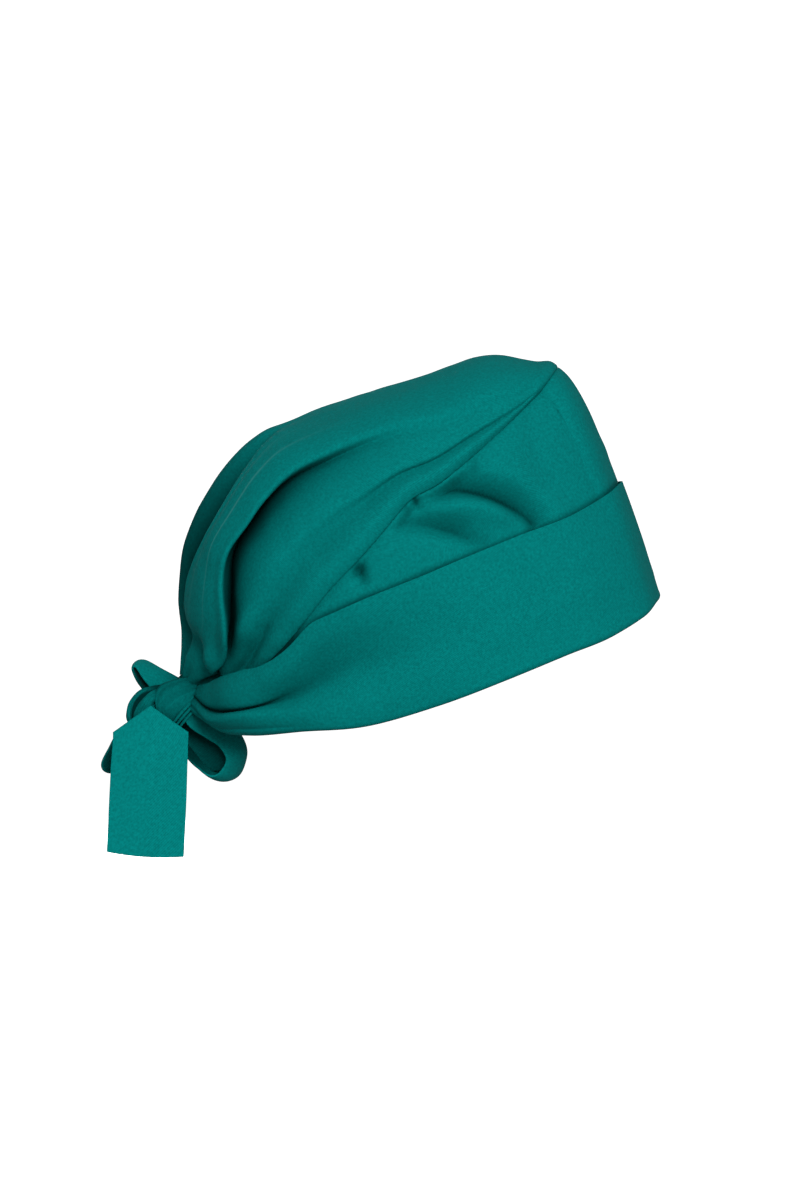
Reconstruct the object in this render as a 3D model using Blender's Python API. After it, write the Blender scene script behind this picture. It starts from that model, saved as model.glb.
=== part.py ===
"""Tie-back scrub cap, in the shape that it has on a head.

The crown is one gathered panel, sewn along an arched seam to a side panel that runs
round the forehead from ear to ear. A turned-up cuff covers the lower part of the side
panel. Its ends run into the knot at the nape, with the gathered crown, and the ties
leave the knot as three loops and one hanging tail.

Metres, +Z up, +X to the forehead, +Y to the wearer's left. The origin is the middle of
the head opening. The tables hold shares of the named sizes, a row for each section,
station or fold.
"""

import math
from collections import namedtuple

import bmesh
import bpy
import numpy as np
from mathutils import Vector

# Overall sizes of the cap
CAP_LENGTH = 0.224
CAP_BREADTH = 0.158
CROWN_HEIGHT = 0.142

# Cuff
CUFF_WIDTH = 0.055
CUFF_HEM = 0.009
CUFF_CLOTH = 0.0012

# Crown and side panel
CLOTH = 0.0012
SEAM_TURN = 0.003
SEAM_ROLL = 0.0026
FOLD_DEPTH = 0.012
WALL_BULGE = 0.052
PANEL_FOOT = 0.004
DENT_FADE = 0.010

# Clearances between the pieces
SEAM_GAP = 0.0005
LAYER_GAP = 0.0008
KNOT_GAP = 0.0005

# Knot and ties
KNOT_LENGTH = 0.034
KNOT_HEIGHT = 0.020
KNOT_DEPTH = 0.021
KNOT_TILT = math.radians(28)
TIE_WIDTH = 0.036
TIE_CLOTH = 0.0014
TAIL_LENGTH = 0.0725
LOOP_LENGTH = 0.036

# Number of faces along and across each piece
CROWN_RUN_FACES = 27
PANEL_HEIGHT_FACES = 6
CUFF_RUN_FACES = 60
CUFF_FOLD_FACES = 4
TIE_RUN_FACES = 18
TIE_WIDTH_FACES = 3
TAIL_RUN_FACES = 8
TAIL_WIDTH_FACES = 6
WRAP_FACES = 24
WRAP_WIDTH_FACES = 5
KNOT_RINGS = 12
KNOT_SEGMENTS = 24

HALF_BREADTH = CAP_BREADTH / 2
KNOT_CENTRE = np.array([-0.561 * CAP_LENGTH, 0.0, -0.149 * CROWN_HEIGHT])
# The folds push the cloth away from the middle of the head, as the faces of this egg point
HEAD_CENTRE = np.array([-0.06 * CAP_LENGTH, 0.0, 0.18 * CROWN_HEIGHT])
HEAD_RADII = np.array([0.50 * CAP_LENGTH, HALF_BREADTH, 0.85 * CROWN_HEIGHT])

# Crown sections, from the forehead (run 0) to the knot (run 1): the middle line of the
# crown and the near seam, as shares of the length, the half breadth and the height.
Section = namedtuple("Section", "run top_x top_z seam_x seam_y seam_z")
CROWN_SECTIONS = (
    Section(0.00, 0.254, 0.966, 0.214, 0.405, 0.885),
    Section(0.10, 0.183, 0.990, 0.146, 0.633, 0.781),
    Section(0.20, 0.095, 1.000, 0.079, 0.772, 0.686),
    Section(0.30, -0.023, 0.940, 0.006, 0.873, 0.592),
    Section(0.40, -0.149, 0.878, -0.054, 0.937, 0.537),
    Section(0.50, -0.275, 0.806, -0.105, 0.975, 0.443),
    Section(0.60, -0.375, 0.733, -0.157, 0.987, 0.350),
    Section(0.70, -0.459, 0.585, -0.213, 0.962, 0.257),
    Section(0.80, -0.512, 0.394, -0.274, 0.886, 0.136),
    Section(0.88, -0.529, 0.203, -0.340, 0.722, 0.022),
    Section(0.94, -0.529, 0.072, -0.401, 0.456, -0.059),
    Section(1.00, -0.531, -0.048, -0.478, 0.128, -0.112),
)

# Stations of the rim, by the share of the seam's length from the middle of the forehead
# to the knot above which they lie.
Station = namedtuple("Station", "seam x y z")
RIM_STATIONS = (
    Station(0.000, 0.461, 0.000, 0.216),
    Station(0.066, 0.447, 0.278, 0.206),
    Station(0.132, 0.420, 0.506, 0.174),
    Station(0.200, 0.355, 0.709, 0.121),
    Station(0.309, 0.256, 0.873, 0.064),
    Station(0.410, 0.140, 0.972, -0.007),
    Station(0.550, -0.002, 0.996, -0.091),
    Station(0.664, -0.134, 0.972, -0.153),
    Station(0.800, -0.274, 0.845, -0.182),
    Station(0.880, -0.378, 0.630, -0.205),
    Station(0.948, -0.443, 0.370, -0.200),
    Station(1.000, -0.500, 0.150, -0.156),
)
# The side panel ends at this share of the seam, and the cuff goes on to the knot.
PANEL_END = 0.86

# Lines along the crown, in their order from the middle line to the seam. Where a line's
# place is less than that of the one before it, the cloth doubles back under a pleat.
# Places are shares of the way to the seam, depths are shares of FOLD_DEPTH.
PLEAT_RUNS = (0.00, 0.20, 0.40, 0.55, 0.70, 0.80, 0.84, 0.88, 0.94, 1.00)
Pleat = namedtuple("Pleat", "name places depths")
CROWN_PLEATS = (
    Pleat("middle", (0, 0, 0, 0, 0, 0, 0, 0, 0, 0), (0, 0, 0, 0, 0, 0, 0, 0, 0, 0.08)),
    Pleat("strip behind the lobe", (0.06, 0.06, 0.06, 0.08, 0.11, 0.12, 0.12, 0.12, 0.12, 0.10),
          (0, 0, 0, 0, 0.04, 0.10, 0.10, 0.08, 0.03, 0.02)),
    Pleat("back valley", (0.12, 0.12, 0.12, 0.14, 0.22, 0.22, 0.20, 0.21, 0.24, 0.22),
          (0, 0, 0, -0.12, -0.85, -1.15, -1.10, -0.90, -0.35, -0.08)),
    Pleat("back edge of the lobe", (0.18, 0.18, 0.18, 0.20, 0.30, 0.285, 0.25, 0.27, 0.30, 0.30),
          (0, 0, 0.02, 0.02, 0.08, 0.10, 0.12, 0.08, 0.04, 0.04)),
    Pleat("back of the lobe", (0.24, 0.24, 0.24, 0.26, 0.345, 0.34, 0.32, 0.34, 0.36, 0.36),
          (0, 0, 0.02, 0.06, 0.20, 0.26, 0.28, 0.26, 0.16, 0.05)),
    Pleat("middle of the lobe", (0.34, 0.32, 0.31, 0.33, 0.42, 0.44, 0.44, 0.48, 0.47, 0.42),
          (0, 0.02, 0.05, 0.10, 0.30, 0.38, 0.40, 0.36, 0.16, -0.06)),
    Pleat("crest of the lobe", (0.60, 0.60, 0.52, 0.49, 0.52, 0.53, 0.54, 0.60, 0.64, 0.53),
          (0, 0.11, 0.19, 0.28, 0.40, 0.43, 0.42, 0.33, 0.14, 0.08)),
    Pleat("edge of the lobe", (0.66, 0.66, 0.57, 0.54, 0.56, 0.570, 0.590, 0.70, 0.76, 0.62),
          (0, 0.07, 0.11, 0.18, 0.27, 0.32, 0.33, 0.30, 0.14, 0)),
    Pleat("bottom of the pleat", (0.71, 0.71, 0.60, 0.52, 0.43, 0.40, 0.41, 0.48, 0.62, 0.70),
          (0, -0.06, -0.13, -0.48, -1.00, -1.25, -1.25, -1.10, -0.55, -0.08)),
    Pleat("wall of the pleat", (0.76, 0.76, 0.66, 0.575, 0.51, 0.52, 0.54, 0.60, 0.70, 0.77),
          (0, -0.04, -0.08, -0.34, -0.72, -0.76, -0.76, -0.70, -0.36, -0.06)),
    Pleat("end of the pleat", (0.81, 0.81, 0.75, 0.68, 0.62, 0.63, 0.65, 0.70, 0.77, 0.83),
          (0, -0.03, -0.04, -0.14, -0.28, -0.26, -0.26, -0.26, -0.18, -0.06)),
    Pleat("side", (0.85, 0.84, 0.82, 0.78, 0.75, 0.76, 0.78, 0.80, 0.84, 0.88),
          (0, 0, -0.02, -0.03, -0.04, -0.02, -0.02, -0.05, -0.12, -0.08)),
    Pleat("valley by the seam", (0.90, 0.885, 0.87, 0.86, 0.86, 0.87, 0.875, 0.88, 0.90, 0.92),
          (0, -0.20, -0.28, -0.30, -0.28, -0.24, -0.24, -0.30, -0.20, -0.04)),
    Pleat("roll by the seam", (0.95, 0.945, 0.945, 0.945, 0.945, 0.945, 0.945, 0.95, 0.955, 0.96),
          (0, 0.24, 0.26, 0.24, 0.18, 0.08, 0, -0.06, -0.08, 0)),
    Pleat("seam", (1, 1, 1, 1, 1, 1, 1, 1, 1, 1), (0, 0, 0, 0, 0, 0, 0, 0, 0, 0)),
)
# The cloth rolls up where it starts at the forehead's seam: run of the roll's crest, its
# half width, the run where the folds have grown to their depth, and the roll's height.
FRONT_ROLL_RUN = 0.030
FRONT_ROLL_WIDTH = 0.022
FOLDS_START = 0.05
FRONT_ROLL_RISE = 0.6
# Columns of the crown's faces, counted in pleat lines from the middle line.
CROWN_COLUMNS = (0, 1, 2, 2.5, 3, 4, 5, 6, 6.5, 7, 7.5, 8, 9, 10, 11, 12, 13, 14)
# Those that the side panel's arched edge shares with the crown.
ARCH_COLUMNS = (0, 1, 3, 4, 5, 6, 7, 8, 9, 10, 11, 12, 13, 14)

# Lines along the cuff, in their order from the rim to its free edge. Heights are shares
# of its width, and depths are shares of FOLD_DEPTH, outwards.
CUFF_RUNS = (0.00, 0.45, 0.58, 0.66, 0.73, 0.80, 0.88, 0.94, 1.00)
CUFF_LINES = (
    Pleat("rim", (0, 0, 0, 0, 0, 0, 0, 0, 0), (0, 0, 0.02, 0.04, 0.08, 0.12, 0.20, 0.20, 0.04)),
    Pleat("lower lobe", (0.15, 0.15, 0.15, 0.15, 0.15, 0.14, 0.12, 0.13, 0.15),
          (0, 0, 0.06, 0.12, 0.22, 0.38, 0.62, 0.50, 0.10)),
    Pleat("edge of the lower lobe", (0.33, 0.33, 0.33, 0.33, 0.31, 0.27, 0.23, 0.27, 0.32),
          (0, 0, 0.02, 0.04, 0.08, 0.20, 0.48, 0.38, 0.06)),
    Pleat("hollow", (0.52, 0.52, 0.52, 0.50, 0.46, 0.41, 0.34, 0.38, 0.42),
          (0, 0, 0, 0, 0, 0, 0, 0, 0)),
    Pleat("edge of the upper lobe", (0.70, 0.70, 0.68, 0.66, 0.64, 0.58, 0.47, 0.49, 0.52),
          (0, 0, 0, 0.02, 0.06, 0.16, 0.42, 0.30, 0.04)),
    Pleat("upper lobe", (0.85, 0.85, 0.84, 0.80, 0.78, 0.76, 0.74, 0.70, 0.66),
          (0, 0, 0.04, 0.10, 0.18, 0.32, 0.50, 0.30, 0.02)),
    Pleat("edge", (1, 1, 0.985, 0.94, 0.91, 0.92, 0.97, 0.95, 0.87),
          (0, 0, 0.04, 0.06, 0.10, 0.20, 0.32, 0.25, 0.06)),
)
CUFF_COLUMNS = (0, 1, 2, 3, 4, 5, 6)
# Where the crown's wall is lower than the cuff, the cuff reaches this far past the seam.
CUFF_COVER = 0.0022
CUFF_CORNER = 0.002
# Near the knot the cuff's free edge stands off the wall by this much, from the first to
# the second share of the seam.
CUFF_LIFT = 0.0040
LIFT_START = 0.70
LIFT_END = 0.90
# The wall sinks below the cuff's hollow: its depth at the cuff's runs, as shares of
# FOLD_DEPTH, and its half width as a share of the cuff's width.
HOLLOW_DEPTHS = (0, -0.08, -0.32, -0.50, -0.60, -0.54, -0.18, 0, 0)
HOLLOW_SPREAD = 0.27

# Dents in the side panel, drawn on the side of the cap: depths at the start, middle and
# end as shares of FOLD_DEPTH, and the width and the path as shares of length and height.
Dent = namedtuple("Dent", "start middle end width path")
PANEL_DENTS = (
    Dent(-0.30, -0.62, -0.34, 0.030, (
        (-0.052, 0.556), (0.006, 0.584), (0.060, 0.588), (0.136, 0.556), (0.196, 0.500),
        (0.218, 0.430),
    )),
    Dent(0.05, 0.34, 0.08, 0.026, (
        (0.000, 0.515), (0.060, 0.528), (0.120, 0.500), (0.160, 0.440),
    )),
    Dent(-0.25, -0.48, -0.15, 0.026, (
        (-0.080, 0.470), (-0.026, 0.472), (0.036, 0.450), (0.090, 0.405),
    )),
    Dent(-0.40, -0.45, -0.25, 0.016, ((-0.150, 0.372), (-0.147, 0.340), (-0.142, 0.300))),
    Dent(-0.14, -0.24, -0.08, 0.030, (
        (0.195, 0.800), (0.200, 0.700), (0.235, 0.600), (0.280, 0.530),
    )),
)

# Strap round the knot: for each turn from its forehead end over the near side, how far
# it reaches down and up, in degrees.
Wrap = namedtuple("Wrap", "turn low high")
KNOT_WRAP = (
    Wrap(0, -16, 14), Wrap(50, -42, 32), Wrap(90, -60, 48), Wrap(130, -60, 52),
    Wrap(165, -48, 44), Wrap(195, -36, 32), Wrap(250, -28, 26), Wrap(310, -20, 18),
    Wrap(360, -16, 14),
)

# Ties: the near edge's places as shares of the tie's length from the knot's centre, the
# direction from it to the other edge as heading and rise in degrees, the width there as
# a share of TIE_WIDTH, and how far the middle of the band swells out of the loop, as a
# share of that width.
TiePoint = namedtuple("TiePoint", "x y z heading rise width swell")
LOOP_FRONT = (
    TiePoint(0.210, -0.330, -0.080, 10, 26, 0.12, 0.0),
    TiePoint(0.320, -0.310, -0.270, 45, 20, 0.34, 0.08),
    TiePoint(0.515, -0.300, -0.410, 62, 16, 0.54, 0.20),
    TiePoint(0.670, -0.320, -0.515, 64, 14, 0.60, 0.24),
    TiePoint(0.785, -0.330, -0.690, 76, 8, 0.62, 0.24),
    TiePoint(0.710, -0.320, -0.870, 78, 12, 0.62, 0.22),
    TiePoint(0.575, -0.310, -0.935, 78, 20, 0.62, 0.20),
    TiePoint(0.450, -0.280, -0.855, 74, 28, 0.60, 0.16),
    TiePoint(0.320, -0.200, -0.645, 70, 20, 0.54, 0.10),
    TiePoint(0.160, -0.040, -0.340, 76, 4, 0.30, 0.04),
)
LOOP_BACK = (
    TiePoint(-0.496, 0.020, -0.250, 60, -4, 0.30, 0.0),
    TiePoint(-0.670, 0.060, -0.385, 54, -6, 0.44, 0.04),
    TiePoint(-0.780, 0.110, -0.575, 50, -6, 0.52, 0.06),
    TiePoint(-0.880, 0.130, -0.780, 52, -4, 0.54, 0.06),
    TiePoint(-0.840, 0.130, -0.885, 56, 0, 0.54, 0.04),
    TiePoint(-0.700, 0.140, -0.885, 60, 4, 0.52, 0.02),
    TiePoint(-0.500, 0.140, -0.680, 70, 4, 0.46, 0.0),
    TiePoint(-0.250, 0.040, -0.420, 80, 0, 0.28, 0.0),
)
LOOP_TOP = (
    TiePoint(-0.205, 0.000, 0.240, 44, 13, 0.50, 0.0),
    TiePoint(-0.320, -0.020, 0.362, 62, 11, 0.47, 0.03),
    TiePoint(-0.415, -0.010, 0.490, 78, 7, 0.45, 0.06),
    TiePoint(-0.465, 0.020, 0.465, 82, 6, 0.45, 0.06),
    TiePoint(-0.410, 0.050, 0.310, 72, 9, 0.43, 0.03),
    TiePoint(-0.310, 0.070, 0.165, 60, 9, 0.38, 0.0),
)
# Tail: rows from the edge turned in behind its gabled top to its hem. Drop is down from
# that top and back is towards the nape, as shares of the tail's length. Stand is the share
# of the knot's depth by which the row lies before the knot's middle. The gable is the rise
# of the middle above the two sides, the slant is the fall of the forehead side.
TAIL_BACK = 0.207
TAIL_SEAT = 0.602
TailRow = namedtuple("TailRow", "drop back stand width gable slant")
TAIL = (
    TailRow(0.034, 0.0, 0.594, 0.90, 0.168, 0.0),
    TailRow(0.000, 0.0, 0.704, 0.967, 0.168, 0.0),
    TailRow(0.072, 0.002, 0.725, 0.975, 0.118, 0.0),
    TailRow(0.222, 0.010, 0.732, 0.99, 0.03, 0.004),
    TailRow(0.412, 0.019, 0.718, 1.00, 0.0, 0.008),
    TailRow(0.612, 0.029, 0.704, 1.00, 0.0, 0.012),
    TailRow(0.784, 0.039, 0.690, 1.00, 0.0, 0.016),
)

TEAL = (0.002, 0.230, 0.215, 1.0)
CLOTH_ROUGHNESS = 0.72


def through(keys, values, at):
    """Values on a smooth curve that passes through every row of a table."""
    keys = np.asarray(keys, float)
    values = np.asarray(values, float)
    at = np.clip(np.asarray(at, float), keys[0], keys[-1])
    steps = np.diff(keys)[:, None]
    slopes = np.diff(values, axis=0) / steps
    inner = (slopes[:-1] * steps[1:] + slopes[1:] * steps[:-1]) / (steps[:-1] + steps[1:])
    tangents = np.concatenate([slopes[:1], inner, slopes[-1:]])
    i = np.clip(np.searchsorted(keys, at, side="right") - 1, 0, len(keys) - 2)
    step = steps[i]
    u = (at - keys[i])[..., None] / step
    return (
        values[i] * (1 + 2 * u) * (1 - u) ** 2
        + tangents[i] * step * u * (1 - u) ** 2
        + values[i + 1] * u**2 * (3 - 2 * u)
        + tangents[i + 1] * step * u**2 * (u - 1)
    )


def eased(value):
    """0 below 0, 1 above 1, and smooth between them."""
    value = np.clip(value, 0.0, 1.0)
    return value * value * (3 - 2 * value)


def unit(vectors):
    """The same directions, each with a length of one."""
    length = np.linalg.norm(vectors, axis=-1, keepdims=True)
    return vectors / np.maximum(length, 1e-12)


def crown_base(run, across):
    """Points of the unfolded crown: run from the forehead to the knot, across from seam to seam."""
    rows = np.array(CROWN_SECTIONS)
    top_x, top_z, seam_x, seam_y, seam_z = np.moveaxis(through(rows[:, 0], rows[:, 1:], run), -1, 0)
    angle = np.abs(across) * math.pi / 2
    drop = 1 - np.cos(angle)
    return np.stack([
        (top_x + (seam_x - top_x) * drop) * CAP_LENGTH,
        np.sign(across) * seam_y * np.sin(angle) * HALF_BREADTH,
        (top_z + (seam_z - top_z) * drop) * CROWN_HEIGHT,
    ], axis=-1)


ARCH_POINTS = 61
SIDE_RUNS = np.linspace(0, 1, 241)


def seam_line():
    """The seam from the middle of the forehead to the knot, on the +Y side, and the share of its length."""
    arch = crown_base(np.zeros(ARCH_POINTS), np.linspace(0, 1, ARCH_POINTS))
    side = crown_base(SIDE_RUNS[1:], np.ones(len(SIDE_RUNS) - 1))
    points = np.concatenate([arch, side])
    lengths = np.linalg.norm(np.diff(points, axis=0), axis=1)
    shares = np.concatenate([[0.0], np.cumsum(lengths)])
    return points, shares / shares[-1]


SEAM_POINTS, SEAM_SHARES = seam_line()
ARCH_END = SEAM_SHARES[ARCH_POINTS - 1]


def seam_point(share):
    """A point of the seam; shares below zero lie on the -Y side."""
    at = np.abs(share)
    point = np.stack([np.interp(at, SEAM_SHARES, SEAM_POINTS[:, k]) for k in range(3)], axis=-1)
    point[..., 1] *= np.sign(share)
    return point


def rim_point(share):
    """The point of the rim below that point of the seam."""
    rows = np.array(RIM_STATIONS)
    mirrored = rows[:0:-1] * np.array([-1, 1, -1, 1])
    rows = np.concatenate([mirrored, rows])
    scale = np.array([CAP_LENGTH, HALF_BREADTH, CROWN_HEIGHT])
    return through(rows[:, 0], rows[:, 1:], share) * scale


def outward(points):
    """The direction that folds push the cloth: away from the middle of the head."""
    return unit((points - HEAD_CENTRE) / HEAD_RADII**2)


def on_lines(lines, runs, run, column):
    """Place and depth at a run along a table of lines, and a column counted in lines."""
    count = len(lines)
    table = np.array([np.stack([line.places, line.depths], axis=-1) for line in lines], float)
    stacked = np.moveaxis(table, 1, 0).reshape(len(runs), -1)
    along = through(runs, stacked, run)
    across = np.zeros(run.shape + (2,))
    for at in np.unique(column):
        here = column == at
        values = along[here].reshape(-1, count, 2)
        first = int(min(max(math.floor(at), 0), count - 2))
        u = at - first
        before = values[:, max(first - 1, 0)]
        start, end = values[:, first], values[:, first + 1]
        after = values[:, min(first + 2, count - 1)]
        lead, trail = (end - before) / 2, (after - start) / 2
        across[here] = (
            start * (1 + 2 * u) * (1 - u) ** 2 + lead * u * (1 - u) ** 2
            + end * u**2 * (3 - 2 * u) + trail * u**2 * (u - 1)
        )
    return across[..., 0], across[..., 1]


def crown_surface(run, column):
    """The folded crown; columns below zero lie on the -Y side."""
    place, depth = on_lines(CROWN_PLEATS, PLEAT_RUNS, run, np.abs(column))
    points = crown_base(run, place * np.where(column < 0, -1, 1))
    to_seam = len(CROWN_PLEATS) - 1 - np.abs(column)
    roll = np.exp(-(((run - FRONT_ROLL_RUN) / FRONT_ROLL_WIDTH) ** 2)) * eased(to_seam / 2)
    depth = depth * FOLD_DEPTH * eased(run / FOLDS_START) + SEAM_ROLL * FRONT_ROLL_RISE * roll
    return points + outward(points) * depth[..., None]


STOPS_A_CORNER = 3


def dent_depth(points, dents):
    """How far the dents move the cloth at these points, drawn in the side view."""
    flat = points[..., [0, 2]]
    scale = np.array([CAP_LENGTH, CROWN_HEIGHT])
    total = np.zeros(flat.shape[:-1])
    for dent in dents:
        corners = np.array(dent.path)
        stops = np.linspace(0, 1, STOPS_A_CORNER * len(corners))
        line = through(np.linspace(0, 1, len(corners)), corners, stops) * scale
        level = through([0, 0.5, 1], [[dent.start], [dent.middle], [dent.end]], stops)[:, 0]
        distance = np.linalg.norm(flat[..., None, :] - line, axis=-1)
        nearest = np.argmin(distance, axis=-1)
        shape = np.exp(-((np.min(distance, axis=-1) / (dent.width * CAP_LENGTH)) ** 2))
        total += level[nearest] * shape
    return total * FOLD_DEPTH


def cuff_width(shares):
    """The cuff's own width, or the height of the wall and a little more where that is less."""
    length = np.linalg.norm(seam_point(shares) - rim_point(shares), axis=-1) + CUFF_COVER
    return -CUFF_CORNER * np.log(np.exp(-CUFF_WIDTH / CUFF_CORNER) + np.exp(-length / CUFF_CORNER))


def hollow_place(share):
    """How far up the cuff its hollow lies, as a share of its width."""
    return np.interp(np.abs(share), CUFF_RUNS, CUFF_LINES[3].places)


def hollow_depth(share):
    """How far the wall sinks below the cuff's hollow, as a share of FOLD_DEPTH."""
    depths = np.array(HOLLOW_DEPTHS, float)[:, None]
    return through(CUFF_RUNS, depths, np.abs(share))[..., 0]


# The wall's bulge rises quickly above the rim, and ends close below the seam
BULGE_START = 2.2
BULGE_END = 12
# Heights, as shares of the cuff's width, from which the wall's dents and bumps show
SUNK_FROM = 0.89
RAISED_FROM = 1.02


def wall_surface(share, height, dents=()):
    """The cloth below the seam, by the share of the seam and the height above the rim in metres."""
    foot = rim_point(share)
    head = seam_point(share)
    length = np.linalg.norm(head - foot, axis=-1)
    rise = height / length
    inside = np.clip(rise, 0, 1)
    swell = (1 - (1 - inside) ** BULGE_START) * (1 - inside**BULGE_END)
    points = foot + (head - foot) * rise[..., None]
    spread = (height / cuff_width(share) - hollow_place(share)) / HOLLOW_SPREAD
    sink = hollow_depth(share) * FOLD_DEPTH * np.exp(-(spread**2))
    points = points + outward(points) * (WALL_BULGE * length * swell + sink)[..., None]
    if dents:
        depth = dent_depth(points, dents) * eased((length - height) / DENT_FADE)
        sunk = np.minimum(depth, 0) * eased((height - SUNK_FROM * CUFF_WIDTH) / DENT_FADE)
        raised = np.maximum(depth, 0) * eased((height - RAISED_FROM * CUFF_WIDTH) / DENT_FADE)
        points = points + outward(points) * (sunk + raised)[..., None]
    return points


def wall_normal(share, height):
    """The outward normal of the wall."""
    step_share, step_height = 0.004, 0.001
    ahead = np.clip(share + step_share, -1, 1)
    behind = np.clip(share - step_share, -1, 1)
    along = wall_surface(ahead, height) - wall_surface(behind, height)
    up = wall_surface(share, height + step_height) - wall_surface(share, height - step_height)
    return unit(np.cross(along, up))


def seam_frame(share):
    """At the seam: the inward direction, and the direction across the seam towards the crown."""
    step = 0.006
    along = unit(seam_point(np.clip(share + step, -1, 1)) - seam_point(np.clip(share - step, -1, 1)))
    here = seam_point(share)
    wall_out = unit(np.cross(along, here - rim_point(share)))
    at = np.abs(share)
    on_arch = at < ARCH_END
    run = np.interp(at, SEAM_SHARES[ARCH_POINTS - 1:], SIDE_RUNS)
    across = np.where(on_arch, at / ARCH_END, 0.94) * np.sign(share)
    crown_way = unit(crown_base(run + np.where(on_arch, 0.03, 0.0), across) - here)
    inward = -unit(wall_out + unit(np.cross(along, crown_way)))
    return inward, unit(np.cross(along, inward))


def cloth_grid(name, points, thickness, joined=False):
    """A cloth piece: a grid moved onto rows of points and given a wall."""
    rows, columns = points.shape[:2]
    mesh = bpy.data.meshes.new(name)
    shape = bmesh.new()
    bmesh.ops.create_grid(shape, x_segments=columns - 1, y_segments=rows - 1, size=1)
    shape.verts.ensure_lookup_table()
    flat = points.reshape(-1, 3)
    for vertex, place in zip(shape.verts, flat):
        vertex.co = place
    if joined:
        bmesh.ops.remove_doubles(shape, verts=shape.verts, dist=1e-6)
    shape.to_mesh(mesh)
    shape.free()
    piece = bpy.data.objects.new(name, mesh)
    bpy.context.scene.collection.objects.link(piece)
    wall = piece.modifiers.new("wall", "SOLIDIFY")
    wall.thickness = thickness
    wall.offset = 0
    wall.use_even_offset = False
    mesh.shade_smooth()
    return piece


def arch_shares(columns):
    """Shares of the seam at columns of the crown's front edge, from the middle to a corner."""
    place, _ = on_lines(CROWN_PLEATS, PLEAT_RUNS, np.zeros(len(columns)), np.array(columns, float))
    return np.interp(place, np.linspace(0, 1, ARCH_POINTS), SEAM_SHARES[:ARCH_POINTS])


def side_shares():
    """Shares of the seam at the rows of the crown, from a corner to the knot."""
    runs = np.linspace(0, 1, CROWN_RUN_FACES + 1)
    return runs, np.interp(runs, SIDE_RUNS, SEAM_SHARES[ARCH_POINTS - 1:])


def make_crown():
    """The gathered crown panel, with its seam edge turned inwards."""
    runs, side = side_shares()
    half = np.array(CROWN_COLUMNS, float)
    columns = np.concatenate([-half[:0:-1], half])
    arch = arch_shares(CROWN_COLUMNS)
    arch = np.concatenate([-arch[:0:-1], arch])
    run, column = np.meshgrid(runs, columns, indexing="ij")
    surface = crown_surface(run, column)
    set_off = (CLOTH + SEAM_GAP) / 2
    edges = {}
    for end, sign in ((0, -1), (-1, 1)):
        inward, over = seam_frame(sign * side)
        surface[:, end] += over * set_off
        edges[end] = surface[:, end] + inward * SEAM_TURN
    inward, over = seam_frame(arch)
    surface[0, 1:-1] += over[1:-1] * set_off
    front = surface[0] + inward * SEAM_TURN
    body = np.concatenate([edges[0][:, None], surface, edges[-1][:, None]], axis=1)
    front_row = np.concatenate([front[:1], front, front[-1:]])
    body[0, 0], body[0, -1] = front[0], front[-1]
    return cloth_grid("crown_panel", np.concatenate([front_row[None], body]), CLOTH, joined=True)


def make_side_panel():
    """The panel round the forehead, between the rim and the seam."""
    _, side = side_shares()
    arch = arch_shares(ARCH_COLUMNS)
    half = np.concatenate([arch[1:], side[1:][side[1:] <= PANEL_END]])
    shares = np.concatenate([-half[::-1], [0.0], half])
    length = np.linalg.norm(seam_point(shares) - rim_point(shares), axis=-1)
    inward, over = seam_frame(shares)
    rows = []
    for share in 1 - np.linspace(1, 0, PANEL_HEIGHT_FACES + 1) ** 1.3:
        height = PANEL_FOOT + (length - PANEL_FOOT) * share
        rows.append(wall_surface(shares, height, PANEL_DENTS))
    rows[-1] = rows[-1] - over * (CLOTH + SEAM_GAP) / 2
    rows.append(rows[-1] + inward * SEAM_TURN)
    return cloth_grid("side_panel", np.stack(rows), CLOTH)


# How far above the rim the way up the wall is read
RIM_STEP = 0.002


def make_cuff():
    """The turned-up cuff: a short leg inside the rim, the fold, and the wide leg outside."""
    shares = np.linspace(-1, 1, CUFF_RUN_FACES + 1)
    at = np.abs(shares)
    width = cuff_width(shares)
    off = (CLOTH + CUFF_CLOTH) / 2 + LAYER_GAP
    rim = np.zeros_like(shares)
    _, swell = on_lines(CUFF_LINES, CUFF_RUNS, at, rim)
    swell = swell * FOLD_DEPTH

    def set_off(height, distance):
        return wall_surface(shares, height) + wall_normal(shares, height) * distance[:, None]

    rows = [set_off(CUFF_HEM * width / CUFF_WIDTH, rim - off), set_off(rim, rim - off)]
    middle = (set_off(rim, off + swell) + rows[-1]) / 2
    reach = (off * 2 + swell) / 2
    normal = wall_normal(shares, rim)
    up = unit(wall_surface(shares, rim + RIM_STEP) - wall_surface(shares, rim))
    for angle in np.linspace(0, math.pi, CUFF_FOLD_FACES + 1)[1:-1]:
        turn = -normal * math.cos(angle) * reach[:, None] - up * math.sin(angle) * off
        rows.append(middle + turn)
    lift = CUFF_LIFT * eased((at - LIFT_START) / (LIFT_END - LIFT_START))
    for column in CUFF_COLUMNS:
        place, depth = on_lines(CUFF_LINES, CUFF_RUNS, at, rim + column)
        rows.append(set_off(width * place, off + depth * FOLD_DEPTH + lift * place))
    return cloth_grid("cuff", np.stack(rows), CUFF_CLOTH)


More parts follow.
